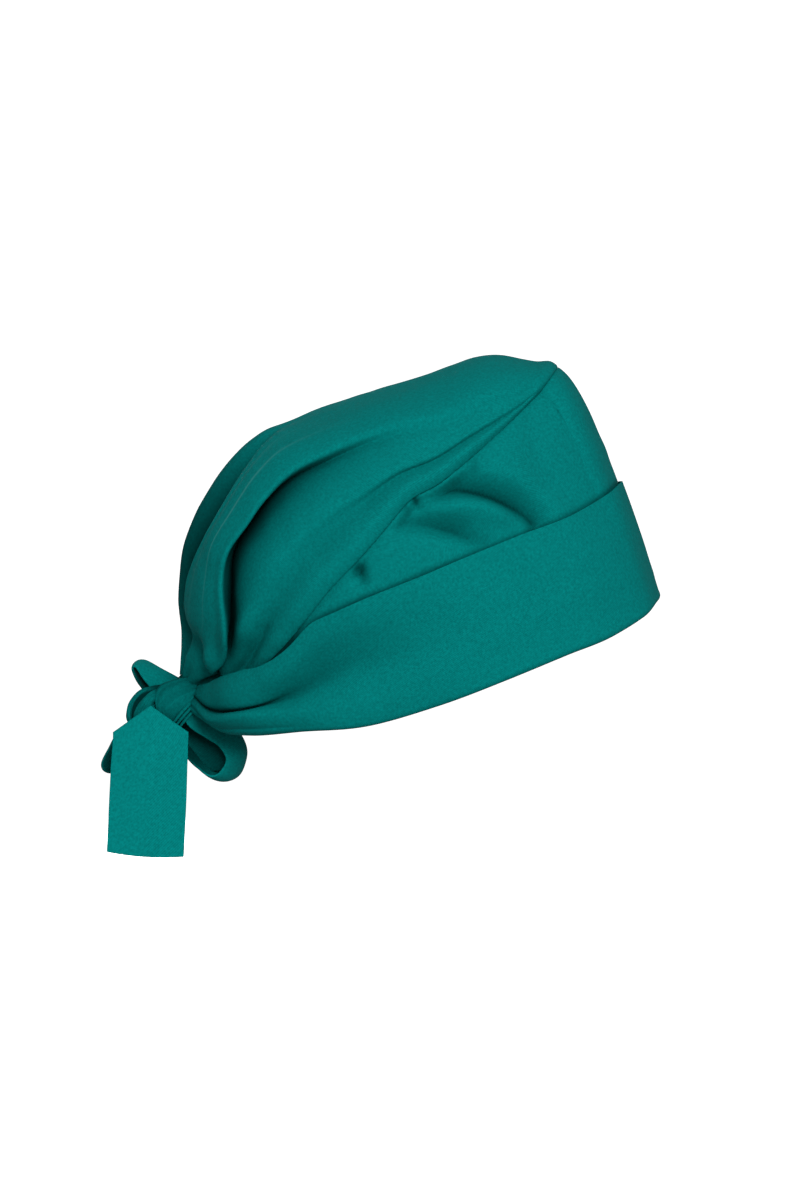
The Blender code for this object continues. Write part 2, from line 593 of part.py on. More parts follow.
def knot_point(turn, lift, stand):
    """A point over the knot: turn from its forehead end over the near side, and lift, in radians."""
    axes = np.array([
        [math.cos(KNOT_TILT), 0.0, math.sin(KNOT_TILT)],
        [0.0, -1.0, 0.0],
        [-math.sin(KNOT_TILT), 0.0, math.cos(KNOT_TILT)],
    ])
    radii = np.array([KNOT_LENGTH, KNOT_DEPTH, KNOT_HEIGHT]) / 2
    ball = np.stack([np.cos(turn) * np.cos(lift), np.sin(turn) * np.cos(lift), np.sin(lift)], axis=-1)
    place = ball * radii + unit(ball / radii) * np.asarray(stand)[..., None]
    return KNOT_CENTRE + place @ axes


def make_knot():
    """The body of the knot."""
    mesh = bpy.data.meshes.new("knot")
    shape = bmesh.new()
    bmesh.ops.create_uvsphere(shape, u_segments=KNOT_SEGMENTS, v_segments=KNOT_RINGS, radius=1)
    for vertex in shape.verts:
        turn = math.atan2(vertex.co.y, vertex.co.x)
        lift = math.asin(max(-1.0, min(1.0, vertex.co.z)))
        vertex.co = Vector(knot_point(turn, lift, 0.0))
    bmesh.ops.reverse_faces(shape, faces=shape.faces)
    shape.to_mesh(mesh)
    shape.free()
    mesh.shade_smooth()
    piece = bpy.data.objects.new("knot", mesh)
    bpy.context.scene.collection.objects.link(piece)
    return piece


def make_knot_wrap():
    """The strap drawn round the knot."""
    rows = np.array(KNOT_WRAP, float)
    turn = np.linspace(0, 360, WRAP_FACES + 1)
    low, high = np.moveaxis(through(rows[:, 0], rows[:, 1:], turn), -1, 0)
    share = np.linspace(0, 1, WRAP_WIDTH_FACES + 1)
    lift = low + (high - low) * share[:, None]
    stand = np.full(lift.shape, KNOT_GAP + TIE_CLOTH / 2)
    points = knot_point(np.radians(np.broadcast_to(turn, lift.shape)), np.radians(lift), stand)
    return cloth_grid("knot_wrap", points, TIE_CLOTH, joined=True)


def make_loop(name, table):
    """A loop of the tie, from its near edge across to its far edge."""
    rows = np.array(table, float)
    stops = np.linspace(0, 1, TIE_RUN_FACES + 1)
    found = through(np.linspace(0, 1, len(rows)), rows, stops)
    near = KNOT_CENTRE + found[:, :3] * LOOP_LENGTH
    heading, rise = np.radians(found[:, 3]), np.radians(found[:, 4])
    across = np.stack(
        [np.cos(rise) * np.cos(heading), np.cos(rise) * np.sin(heading), np.sin(rise)], axis=-1
    )
    share = np.linspace(0, 1, TIE_WIDTH_FACES + 1)[:, None, None]
    width = (found[:, 5] * TIE_WIDTH)[:, None]
    away = np.cross(unit(np.gradient(near, axis=0)), across)
    away = unit(away) * np.sign(np.sum(away * (near - near.mean(axis=0)), axis=-1))[:, None]
    swell = 4 * share * (1 - share) * found[:, 6, None] * width
    return cloth_grid(name, near + across * width * share + away * swell, TIE_CLOTH)


def make_tail():
    """The hanging tail, gabled where it is folded over the knot."""
    rows = np.array(TAIL, float)
    stops = np.linspace(0, 1, TAIL_RUN_FACES + 1)
    found = through(np.linspace(0, 1, len(rows)), rows, stops)
    side = np.linspace(-1, 1, TAIL_WIDTH_FACES + 1)
    back = TAIL_BACK * KNOT_LENGTH + found[:, 1, None] * TAIL_LENGTH
    x = side * found[:, 3, None] * TIE_WIDTH / 2 - back
    y = np.broadcast_to(-found[:, 2, None] * KNOT_DEPTH, x.shape)
    rise = found[:, 4, None] * (1 - np.abs(side)) - found[:, 5, None] * side
    z = (rise - found[:, 0, None]) * TAIL_LENGTH - TAIL_SEAT * KNOT_HEIGHT
    return cloth_grid("tie_tail", KNOT_CENTRE + np.stack([x, y, z], axis=-1), TIE_CLOTH)


def finish(piece):
    """Gives a piece its cloth material."""
    material = bpy.data.materials.new(piece.name + "_cloth")
    material.use_nodes = True
    shader = material.node_tree.nodes["Principled BSDF"]
    shader.inputs["Base Color"].default_value = TEAL
    shader.inputs["Roughness"].default_value = CLOTH_ROUGHNESS
    shader.inputs["Metallic"].default_value = 0.0
    piece.data.materials.append(material)


def main():
    for old in list(bpy.data.objects):
        bpy.data.objects.remove(old)
    pieces = [
        make_crown(),
        make_side_panel(),
        make_cuff(),
        make_knot(),
        make_knot_wrap(),
        make_tail(),
        make_loop("tie_loop_front", LOOP_FRONT),
        make_loop("tie_loop_back", LOOP_BACK),
        make_loop("tie_loop_top", LOOP_TOP),
    ]
    for piece in pieces:
        finish(piece)


main()
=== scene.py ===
"""Tie-back scrub cap in teal twill, in the shape that it has on a head.

The crown, the side panel, the cuff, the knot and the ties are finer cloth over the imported
solids, worked out from sections, stations and lines of folds. Metres, +Z up, +X to the
forehead, +Y to the wearer's left; the origin is the middle of the head opening.
"""

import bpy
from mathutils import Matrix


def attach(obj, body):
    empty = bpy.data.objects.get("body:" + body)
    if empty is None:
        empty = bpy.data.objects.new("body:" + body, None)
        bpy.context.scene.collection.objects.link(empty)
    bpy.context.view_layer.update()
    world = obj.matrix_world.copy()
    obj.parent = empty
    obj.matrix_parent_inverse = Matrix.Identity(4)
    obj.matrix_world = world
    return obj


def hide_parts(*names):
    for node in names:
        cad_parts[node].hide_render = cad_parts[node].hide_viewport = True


bl_info = {
    "name": "Tie-back scrub cap",
    "version": (1, 0, 0),
    "blender": (4, 5, 0),
    "location": "View3D > Sidebar > Scrub cap",
    "description": "Models the cloth of a tie-back scrub cap over its packed solids",
    "category": "Add Mesh",
}

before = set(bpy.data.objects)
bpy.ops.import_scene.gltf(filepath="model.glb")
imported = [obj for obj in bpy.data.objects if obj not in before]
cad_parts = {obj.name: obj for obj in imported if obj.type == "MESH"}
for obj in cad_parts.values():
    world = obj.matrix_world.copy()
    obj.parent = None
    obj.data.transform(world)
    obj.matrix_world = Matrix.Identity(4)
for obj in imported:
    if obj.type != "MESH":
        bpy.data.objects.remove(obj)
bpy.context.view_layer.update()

import math
from collections import namedtuple

import bmesh
import bpy
import numpy as np
from mathutils import Vector

# Overall sizes of the cap, as in its solids
CAP_LENGTH = 0.224
CAP_BREADTH = 0.158
CROWN_HEIGHT = 0.142
CUFF_WIDTH = 0.055
CUFF_HEM = 0.009
SEAM_TURN = 0.003
SEAM_ROLL = 0.0026
FOLD_DEPTH = 0.012
WALL_BULGE = 0.052
PANEL_FOOT = 0.004
DENT_FADE = 0.010
KNOT_LENGTH = 0.034
KNOT_HEIGHT = 0.020
KNOT_DEPTH = 0.021
KNOT_TILT = math.radians(28)
TIE_WIDTH = 0.036
TAIL_LENGTH = 0.0725
LOOP_LENGTH = 0.036

# Cloth and clearances that place the middles of the layers
WALL_CLOTH = 0.0012
SEAM_GAP = 0.0001
LAYER_GAP = 0.0008
# A step up the wall from the rim, which gives the way up there
RIM_STEP = 0.002

HALF_BREADTH = CAP_BREADTH / 2
KNOT_CENTRE = np.array([-0.561 * CAP_LENGTH, 0.0, -0.149 * CROWN_HEIGHT])
# The folds push the cloth away from the middle of the head, as the faces of this egg point
HEAD_CENTRE = np.array([-0.06 * CAP_LENGTH, 0.0, 0.18 * CROWN_HEIGHT])
HEAD_RADII = np.array([0.50 * CAP_LENGTH, HALF_BREADTH, 0.85 * CROWN_HEIGHT])

# Crown sections, from the forehead (run 0) to the knot (run 1), as shares of the length,
# the half breadth and the height: run, top x, top z, seam x, seam y, seam z.
CROWN_SECTIONS = (
    (0.00, 0.254, 0.966, 0.214, 0.405, 0.885),
    (0.10, 0.183, 0.990, 0.146, 0.633, 0.781),
    (0.20, 0.095, 1.000, 0.079, 0.772, 0.686),
    (0.30, -0.023, 0.940, 0.006, 0.873, 0.592),
    (0.40, -0.149, 0.878, -0.054, 0.937, 0.537),
    (0.50, -0.275, 0.806, -0.105, 0.975, 0.443),
    (0.60, -0.375, 0.733, -0.157, 0.987, 0.350),
    (0.70, -0.459, 0.585, -0.213, 0.962, 0.257),
    (0.80, -0.512, 0.394, -0.274, 0.886, 0.136),
    (0.88, -0.529, 0.203, -0.340, 0.722, 0.022),
    (0.94, -0.529, 0.072, -0.401, 0.456, -0.059),
    (1.00, -0.531, -0.048, -0.478, 0.128, -0.112),
)

# Stations of the rim: the share of the seam's length from the middle of the forehead to
# the knot above which it lies, then x, y, z as shares as above.
RIM_STATIONS = (
    (0.000, 0.461, 0.000, 0.216),
    (0.066, 0.447, 0.278, 0.206),
    (0.132, 0.420, 0.506, 0.174),
    (0.200, 0.355, 0.709, 0.121),
    (0.309, 0.256, 0.873, 0.064),
    (0.410, 0.140, 0.972, -0.007),
    (0.550, -0.002, 0.996, -0.091),
    (0.664, -0.134, 0.972, -0.153),
    (0.800, -0.274, 0.845, -0.182),
    (0.880, -0.378, 0.630, -0.205),
    (0.948, -0.443, 0.370, -0.200),
    (1.000, -0.500, 0.150, -0.156),
)
# The side panel ends at this share of the seam, and the cuff goes on to the knot.
PANEL_END = 0.94

# Lines along the crown, in their order from the middle line to the seam. Where a line's
# place is less than that of the one before it, the cloth doubles back under a pleat.
# Places are shares of the way to the seam, depths are shares of FOLD_DEPTH, and the third
# column, where given, is painted shade along the line, darker deeper in a fold.
PLEAT_RUNS = (0.00, 0.20, 0.40, 0.55, 0.70, 0.80, 0.84, 0.88, 0.94, 1.00)
Pleat = namedtuple("Pleat", "name places depths tucks", defaults=(None,))
CROWN_PLEATS = (
    Pleat("middle", (0, 0, 0, 0, 0, 0, 0, 0, 0, 0), (0, 0, 0, 0, 0, 0, 0, 0, 0, 0.08)),
    Pleat("strip behind the lobe", (0.06, 0.06, 0.06, 0.08, 0.11, 0.12, 0.12, 0.12, 0.12, 0.10),
          (0, 0, 0, 0, 0.04, 0.10, 0.10, 0.08, 0.03, 0.02),
          (0, 0, 0, 0, 0.55, 0.80, 0.80, 0.65, 0.30, 0.10)),
    Pleat("back valley", (0.12, 0.12, 0.12, 0.14, 0.22, 0.22, 0.20, 0.21, 0.24, 0.22),
          (0, 0, 0, -0.12, -0.85, -1.15, -1.10, -0.90, -0.35, -0.08),
          (0, 0, 0, 0.05, 0.90, 1, 1, 0.90, 0.60, 0.30)),
    Pleat("back edge of the lobe",
          (0.18, 0.18, 0.18, 0.22, 0.345, 0.325, 0.285, 0.285, 0.30, 0.30),
          (0, 0, 0.02, 0.02, 0.08, 0.10, 0.12, 0.08, 0.04, 0.04)),
    Pleat("back of the lobe", (0.24, 0.24, 0.24, 0.28, 0.385, 0.37, 0.345, 0.35, 0.36, 0.36),
          (0, 0, 0.02, 0.06, 0.20, 0.26, 0.28, 0.26, 0.16, 0.05)),
    Pleat("middle of the lobe", (0.34, 0.32, 0.31, 0.33, 0.42, 0.44, 0.47, 0.51, 0.48, 0.42),
          (0, 0.02, 0.05, 0.10, 0.30, 0.38, 0.40, 0.36, 0.16, -0.06)),
    Pleat("crest of the lobe", (0.60, 0.60, 0.52, 0.49, 0.52, 0.53, 0.59, 0.66, 0.67, 0.53),
          (0, 0.11, 0.19, 0.28, 0.40, 0.43, 0.42, 0.33, 0.14, 0.08)),
    Pleat("edge of the lobe", (0.66, 0.66, 0.57, 0.54, 0.56, 0.575, 0.650, 0.75, 0.79, 0.62),
          (0, 0.07, 0.11, 0.18, 0.27, 0.32, 0.33, 0.30, 0.14, 0)),
    Pleat("bottom of the pleat", (0.71, 0.71, 0.60, 0.52, 0.43, 0.40, 0.46, 0.54, 0.65, 0.70),
          (0, -0.06, -0.13, -0.48, -1.00, -1.25, -1.25, -1.10, -0.55, -0.08),
          (0, 0, 0.10, 0.60, 1, 1, 1, 1, 0.95, 0.70)),
    Pleat("wall of the pleat", (0.76, 0.76, 0.66, 0.575, 0.51, 0.52, 0.59, 0.66, 0.73, 0.77),
          (0, -0.04, -0.08, -0.34, -0.72, -0.76, -0.76, -0.70, -0.36, -0.06),
          (0, 0, 0.08, 0.45, 1, 1, 1, 1, 0.90, 0.60)),
    Pleat("end of the pleat", (0.81, 0.81, 0.75, 0.68, 0.62, 0.63, 0.69, 0.745, 0.79, 0.83),
          (0, -0.03, -0.04, -0.14, -0.28, -0.26, -0.26, -0.26, -0.18, -0.06),
          (0, 0, 0.02, 0.12, 0.38, 0.48, 0.55, 0.60, 0.50, 0.40)),
    Pleat("side", (0.85, 0.84, 0.82, 0.78, 0.75, 0.76, 0.79, 0.82, 0.85, 0.88),
          (0, 0, -0.02, -0.03, -0.04, -0.02, -0.02, -0.05, -0.12, -0.08)),
    Pleat("valley by the seam", (0.90, 0.865, 0.845, 0.835, 0.835, 0.845, 0.86, 0.87, 0.90, 0.92),
          (0, -0.16, -0.24, -0.28, -0.26, -0.24, -0.24, -0.30, -0.20, -0.04),
          (0, 0.04, 0.10, 0.12, 0.12, 0.12, 0.12, 0.14, 0.20, 0.20)),
    Pleat("roll by the seam", (0.95, 0.940, 0.940, 0.940, 0.940, 0.940, 0.940, 0.95, 0.955, 0.96),
          (0, 0.14, 0.18, 0.18, 0.14, 0.08, 0, -0.06, -0.08, 0)),
    Pleat("seam", (1, 1, 1, 1, 1, 1, 1, 1, 1, 1), (0, 0, 0, 0, 0, 0, 0, 0, 0, 0)),
)
# The cloth rolls up where it starts at the forehead's seam: run of the roll's crest, its
# half width, the run where the folds have grown to their depth, and the roll's height.
FRONT_ROLL_RUN = 0.030
FRONT_ROLL_WIDTH = 0.022
FOLDS_START = 0.05
FRONT_ROLL_RISE = 0.6

# Lines along the cuff, in their order from the rim to its free edge. Heights are shares
# of its width, and depths are shares of FOLD_DEPTH, outwards. The third column, where
# given, is painted shade along the line, darkest in the hollow.
CUFF_RUNS = (0.00, 0.45, 0.58, 0.66, 0.73, 0.80, 0.88, 0.94, 1.00)
CUFF_LINES = (
    Pleat("rim", (0, 0, 0, 0, 0, 0, 0, 0, 0), (0, 0, 0.02, 0.04, 0.08, 0.12, 0.20, 0.20, 0.04)),
    Pleat("lower lobe", (0.15, 0.15, 0.15, 0.15, 0.15, 0.14, 0.12, 0.13, 0.15),
          (0, 0, 0.06, 0.12, 0.22, 0.38, 0.62, 0.50, 0.10)),
    Pleat("edge of the lower lobe", (0.33, 0.33, 0.33, 0.33, 0.31, 0.27, 0.23, 0.27, 0.32),
          (0, 0, 0.02, 0.04, 0.08, 0.20, 0.48, 0.38, 0.06),
          (0, 0, 0, 0.02, 0.04, 0.06, 0.10, 0.20, 0.60)),
    Pleat("hollow", (0.52, 0.52, 0.52, 0.50, 0.46, 0.41, 0.34, 0.38, 0.42),
          (0, 0, 0, 0, 0, 0, 0, 0, 0),
          (0, 0, 0.10, 0.26, 0.40, 0.52, 0.72, 1, 1)),
    Pleat("edge of the upper lobe", (0.70, 0.70, 0.68, 0.66, 0.64, 0.58, 0.47, 0.49, 0.52),
          (0, 0, 0, 0.02, 0.06, 0.16, 0.42, 0.30, 0.04),
          (0, 0, 0.02, 0.08, 0.14, 0.10, 0.06, 0.20, 0.60)),
    Pleat("upper lobe", (0.85, 0.85, 0.84, 0.80, 0.78, 0.76, 0.74, 0.70, 0.66),
          (0, 0, 0.04, 0.10, 0.18, 0.32, 0.50, 0.30, 0.02)),
    Pleat("edge", (1, 1, 0.98, 0.925, 0.875, 0.885, 0.96, 0.95, 0.87),
          (0, 0, 0.04, 0.06, 0.10, 0.20, 0.32, 0.25, 0.06)),
)
# Where the crown's wall is lower than the cuff, the cuff reaches this far past the seam.
CUFF_COVER = 0.0022
CUFF_CORNER = 0.002
# Near the knot the cuff's free edge stands off the wall by this much, from the first to
# the second share of the seam.
CUFF_LIFT = 0.0040
LIFT_START = 0.70
LIFT_END = 0.90
# The wall sinks below the cuff's hollow: its depth at the cuff's runs, as shares of
# FOLD_DEPTH, and its half width as a share of the cuff's width.
HOLLOW_DEPTHS = (0, -0.08, -0.32, -0.50, -0.60, -0.54, -0.18, 0, 0)
HOLLOW_SPREAD = 0.27

# Dents in the side panel, drawn on the side of the cap: depths at the start, middle and
# end as shares of FOLD_DEPTH, and the width and the path as shares of length and height.
Dent = namedtuple("Dent", "start middle end width path")
DENT_STOPS = 8
PANEL_DENTS = (
    Dent(-0.45, -0.95, -0.60, 0.025, (
        (-0.052, 0.556), (0.006, 0.584), (0.060, 0.588), (0.136, 0.556), (0.196, 0.500),
        (0.218, 0.430),
    )),
    Dent(0.05, 0.42, 0.08, 0.026, (
        (0.000, 0.515), (0.060, 0.528), (0.120, 0.500), (0.160, 0.440),
    )),
    Dent(-0.40, -0.75, -0.25, 0.022, (
        (-0.080, 0.470), (-0.026, 0.472), (0.036, 0.450), (0.090, 0.405),
    )),
    Dent(-0.70, -0.80, -0.35, 0.015, ((-0.168, 0.368), (-0.162, 0.335), (-0.152, 0.295))),
    Dent(-0.35, -0.45, -0.20, 0.010, ((-0.046, 0.555), (-0.042, 0.542), (-0.038, 0.528))),
    Dent(-0.10, -0.18, -0.08, 0.030, (
        (0.195, 0.800), (0.200, 0.700), (0.235, 0.600), (0.280, 0.530),
    )),
)

# Loops of the tie: x, y, z of the near edge as shares of LOOP_LENGTH from the knot's
# centre, the direction from it to the other edge as heading and rise in degrees, the width
# there as a share of TIE_WIDTH, and how far the middle swells out of the loop, as a share
# of that width.
LOOP_FRONT = (
    (0.150, -0.330, 0.000, 10, 26, 0.20, 0.0),
    (0.290, -0.330, -0.250, 45, 20, 0.36, 0.08),
    (0.515, -0.300, -0.410, 62, 12, 0.54, 0.20),
    (0.680, -0.320, -0.515, 66, 10, 0.60, 0.20),
    (0.775, -0.330, -0.690, 68, 6, 0.62, 0.16),
    (0.680, -0.330, -0.865, 64, -2, 0.62, 0.12),
    (0.550, -0.320, -0.895, 62, -6, 0.62, 0.10),
    (0.410, -0.290, -0.800, 62, -4, 0.60, 0.08),
    (0.265, -0.230, -0.670, 62, 0, 0.56, 0.06),
    (0.120, -0.140, -0.460, 60, 6, 0.50, 0.04),
    (0.110, -0.060, -0.120, 60, 6, 0.40, 0.02),
)
# A fold of the tie that hangs inside the front loop
LOOP_INNER = (
    (0.100, 0.040, -0.150, 10, 0, 0.66, 0.02),
    (0.120, 0.030, -0.400, 6, 0, 0.76, 0.03),
    (0.190, 0.030, -0.620, 4, 0, 0.66, 0.03),
    (0.320, 0.020, -0.790, 0, 0, 0.46, 0.02),
    (0.430, 0.010, -0.870, 0, 0, 0.24, 0.0),
)
LOOP_BACK = (
    (-0.496, 0.020, -0.250, 60, -4, 0.30, 0.0),
    (-0.670, 0.060, -0.385, 54, -6, 0.44, 0.04),
    (-0.780, 0.110, -0.575, 50, -6, 0.52, 0.06),
    (-0.880, 0.130, -0.780, 52, -4, 0.54, 0.06),
    (-0.840, 0.130, -0.885, 56, 0, 0.54, 0.04),
    (-0.700, 0.140, -0.885, 60, 4, 0.52, 0.02),
    (-0.500, 0.140, -0.680, 70, 4, 0.46, 0.0),
    (-0.250, 0.040, -0.420, 80, 0, 0.28, 0.0),
)
LOOP_TOP = (
    (-0.205, 0.000, 0.195, 44, 13, 0.50, 0.0),
    (-0.320, -0.020, 0.345, 62, 11, 0.47, 0.03),
    (-0.415, -0.010, 0.490, 78, 7, 0.45, 0.06),
    (-0.465, 0.020, 0.465, 82, 6, 0.45, 0.06),
    (-0.410, 0.050, 0.310, 72, 9, 0.43, 0.03),
    (-0.310, 0.070, 0.165, 60, 9, 0.38, 0.0),
)
# Tail: rows of drop, back, stand, width, gable and slant, from the edge turned in behind its
# gabled top to its hem. Drop is down from that top and back is towards the nape, as shares
# of the tail's length. Stand is the share of the knot's depth by which the row lies before
# the knot's middle, and width is a share of TIE_WIDTH. The gable is the rise of the middle
# above the two sides, the slant is the fall of the forehead side. The tail starts this far
# back from the knot's centre, as a share of its length, and below it, of its height.
TAIL_BACK = 0.207
TAIL_SEAT = 0.602
TAIL = (
    (0.034, 0.0, 0.594, 0.90, 0.168, 0.0),
    (0.000, 0.0, 0.704, 0.967, 0.168, 0.0),
    (0.072, 0.002, 0.725, 0.975, 0.118, 0.0),
    (0.222, 0.010, 0.732, 0.99, 0.03, 0.004),
    (0.412, 0.019, 0.718, 1.00, 0.0, 0.008),
    (0.612, 0.029, 0.704, 1.00, 0.0, 0.012),
    (0.784, 0.039, 0.690, 1.00, 0.0, 0.016),
)

# The wall's bulge rises quickly above the rim, and ends close below the seam
BULGE_START = 2.2
BULGE_END = 12
# Heights, as shares of the cuff's width, from which the wall's dents and bumps show
SUNK_FROM = 0.89
RAISED_FROM = 1.02
# The dents run to within this distance of the seam
SEAM_FADE = 0.0050

# Small folds that the solids leave out, drawn on the side of the cap as the dents are
CROWN_DENTS = (
    Dent(-0.10, -0.34, -0.15, 0.018, (
        (-0.350, 0.160), (-0.363, 0.120), (-0.388, 0.050), (-0.400, 0.000),
    )),
    Dent(0.05, 0.20, 0.05, 0.020, ((-0.385, 0.190), (-0.395, 0.120), (-0.412, 0.060))),
    Dent(-0.10, -0.80, -0.60, 0.016, (
        (-0.490, 0.110), (-0.484, 0.050), (-0.470, -0.010), (-0.462, -0.050),
    )),
    Dent(0.10, 0.45, 0.20, 0.016, ((-0.455, 0.080), (-0.450, 0.020), (-0.446, -0.030))),
    Dent(-0.10, -0.35, -0.10, 0.014, ((-0.512, 0.160), (-0.508, 0.080), (-0.504, 0.010))),
)

# Shallow ripples of handled cloth: pitch and height in metres, and their direction
Ripple = namedtuple("Ripple", "pitch height x y z")
RIPPLES = (
    Ripple(0.047, 0.00022, 0.62, 0.35, 0.70),
    Ripple(0.031, 0.00014, -0.55, 0.20, 0.81),
    Ripple(0.019, 0.00008, 0.90, -0.30, 0.32),
    Ripple(0.012, 0.00004, 0.20, 0.70, -0.68),
)
# How far their crests wander, in radians, and how fast along them and up the cap
WANDER = 1.7
WANDER_RATE = 0.37
WANDER_RISE = 40


def through(keys, values, at):
    """Values on a smooth curve that passes through every row of a table."""
    keys = np.asarray(keys, float)
    values = np.asarray(values, float)
    at = np.clip(np.asarray(at, float), keys[0], keys[-1])
    steps = np.diff(keys)[:, None]
    slopes = np.diff(values, axis=0) / steps
    inner = (slopes[:-1] * steps[1:] + slopes[1:] * steps[:-1]) / (steps[:-1] + steps[1:])
    tangents = np.concatenate([slopes[:1], inner, slopes[-1:]])
    i = np.clip(np.searchsorted(keys, at, side="right") - 1, 0, len(keys) - 2)
    step = steps[i]
    u = (at - keys[i])[..., None] / step
    return (
        values[i] * (1 + 2 * u) * (1 - u) ** 2
        + tangents[i] * step * u * (1 - u) ** 2
        + values[i + 1] * u**2 * (3 - 2 * u)
        + tangents[i + 1] * step * u**2 * (u - 1)
    )


def evenly(table, count):
    """So many values at even steps along a smooth curve through the rows of a table."""
    return through(np.linspace(0, 1, len(table)), table, np.linspace(0, 1, count))


def eased(value):
    """0 below 0, 1 above 1, and smooth between them."""
    value = np.clip(value, 0.0, 1.0)
    return value * value * (3 - 2 * value)


def unit(vectors):
    """The same directions, each with a length of one."""
    length = np.linalg.norm(vectors, axis=-1, keepdims=True)
    return vectors / np.maximum(length, 1e-12)


def crown_base(run, across):
    """Points of the unfolded crown: run from forehead to knot, across from seam to seam."""
    rows = np.array(CROWN_SECTIONS)
    found = through(rows[:, 0], rows[:, 1:], run)
    top_x, top_z, seam_x, seam_y, seam_z = np.moveaxis(found, -1, 0)
    angle = np.abs(across) * math.pi / 2
    drop = 1 - np.cos(angle)
    return np.stack([
        (top_x + (seam_x - top_x) * drop) * CAP_LENGTH,
        np.sign(across) * seam_y * np.sin(angle) * HALF_BREADTH,
        (top_z + (seam_z - top_z) * drop) * CROWN_HEIGHT,
    ], axis=-1)


ARCH_POINTS = 61
SIDE_RUNS = np.linspace(0, 1, 241)


def seam_line():
    """The +Y seam from the middle of the forehead to the knot, and the shares of its length."""
    arch = crown_base(np.zeros(ARCH_POINTS), np.linspace(0, 1, ARCH_POINTS))
    side = crown_base(SIDE_RUNS[1:], np.ones(len(SIDE_RUNS) - 1))
    points = np.concatenate([arch, side])
    lengths = np.linalg.norm(np.diff(points, axis=0), axis=1)
    shares = np.concatenate([[0.0], np.cumsum(lengths)])
    return points, shares / shares[-1]


SEAM_POINTS, SEAM_SHARES = seam_line()
ARCH_END = SEAM_SHARES[ARCH_POINTS - 1]


def seam_point(share):
    """A point of the seam; shares below zero lie on the -Y side."""
    at = np.abs(share)
    point = np.stack([np.interp(at, SEAM_SHARES, SEAM_POINTS[:, k]) for k in range(3)], axis=-1)
    point[..., 1] *= np.sign(share)
    return point


def rim_point(share):
    """The point of the rim below that point of the seam."""
    rows = np.array(RIM_STATIONS)
    mirrored = rows[:0:-1] * np.array([-1, 1, -1, 1])
    rows = np.concatenate([mirrored, rows])
    scale = np.array([CAP_LENGTH, HALF_BREADTH, CROWN_HEIGHT])
    return through(rows[:, 0], rows[:, 1:], share) * scale


def outward(points):
    """The direction that folds push the cloth: away from the middle of the head."""
    return unit((points - HEAD_CENTRE) / HEAD_RADII**2)


def on_lines(lines, runs, run, column):
    """Place, depth and painted shade at a run along a table of lines, and a column counted in
    lines.
    """
    count = len(lines)
    none = (0,) * len(runs)
    table = np.array([
        np.stack([line.places, line.depths, line.tucks or none], axis=-1) for line in lines
    ], float)
    stacked = np.moveaxis(table, 1, 0).reshape(len(runs), -1)
    along = through(runs, stacked, run)
    across = np.zeros(run.shape + (3,))
    for at in np.unique(column):
        here = column == at
        values = along[here].reshape(-1, count, 3)
        first = int(min(max(math.floor(at), 0), count - 2))
        u = at - first
        before = values[:, max(first - 1, 0)]
        start, end = values[:, first], values[:, first + 1]
        after = values[:, min(first + 2, count - 1)]
        lead, trail = (end - before) / 2, (after - start) / 2
        across[here] = (
            start * (1 + 2 * u) * (1 - u) ** 2 + lead * u * (1 - u) ** 2
            + end * u**2 * (3 - 2 * u) + trail * u**2 * (u - 1)
        )
    return np.moveaxis(across, -1, 0)


def ripple_depth(points):
    """Shallow ripples all over the cloth."""
    total = np.zeros(points.shape[:-1])
    for ripple in RIPPLES:
        along = points @ unit(np.array(ripple[2:]))
        phase = 2 * math.pi * along / ripple.pitch
        wander = np.sin(phase * WANDER_RATE + WANDER_RISE * points[..., 2])
        total += ripple.height * np.sin(phase + WANDER * wander)
    return total


def dent_depth(points, dents):
    """How far the dents move the cloth at these points, drawn in the side view."""
    flat = points[..., [0, 2]]
    scale = np.array([CAP_LENGTH, CROWN_HEIGHT])
    total = np.zeros(flat.shape[:-1])
    for dent in dents:
        stops = DENT_STOPS * len(dent.path)
        line = evenly(dent.path, stops) * scale
        level = evenly([[dent.start], [dent.middle], [dent.end]], stops)[:, 0]
        distance = np.linalg.norm(flat[..., None, :] - line, axis=-1)
        nearest = np.argmin(distance, axis=-1)
        shape = np.exp(-((np.min(distance, axis=-1) / (dent.width * CAP_LENGTH)) ** 2))
        total += level[nearest] * shape
    return total * FOLD_DEPTH


def crown_surface(run, column):
    """The folded crown and its painted shade; columns below zero lie on the -Y side."""
    place, depth, painted_shade = on_lines(CROWN_PLEATS, PLEAT_RUNS, run, np.abs(column))
    points = crown_base(run, place * np.where(column < 0, -1, 1))
    to_seam = len(CROWN_PLEATS) - 1 - np.abs(column)
    roll = np.exp(-(((run - FRONT_ROLL_RUN) / FRONT_ROLL_WIDTH) ** 2)) * eased(to_seam / 2)
    depth = depth * FOLD_DEPTH * eased(run / FOLDS_START) + SEAM_ROLL * FRONT_ROLL_RISE * roll
    depth += dent_depth(points, CROWN_DENTS) + ripple_depth(points)
    return points + outward(points) * depth[..., None], painted_shade


def cuff_width(shares):
    """The cuff's own width, or the height of the wall and a little more where that is less."""
    length = np.linalg.norm(seam_point(shares) - rim_point(shares), axis=-1) + CUFF_COVER
    least = sum(np.exp(-size / CUFF_CORNER) for size in (CUFF_WIDTH, length))
    return -CUFF_CORNER * np.log(least)


def hollow_place(share):
    """How far up the cuff its hollow lies, as a share of its width."""
    return np.interp(np.abs(share), CUFF_RUNS, CUFF_LINES[3].places)


def hollow_depth(share):
    """How far the wall sinks below the cuff's hollow, as a share of FOLD_DEPTH."""
    depths = np.array(HOLLOW_DEPTHS, float)[:, None]
    return through(CUFF_RUNS, depths, np.abs(share))[..., 0]


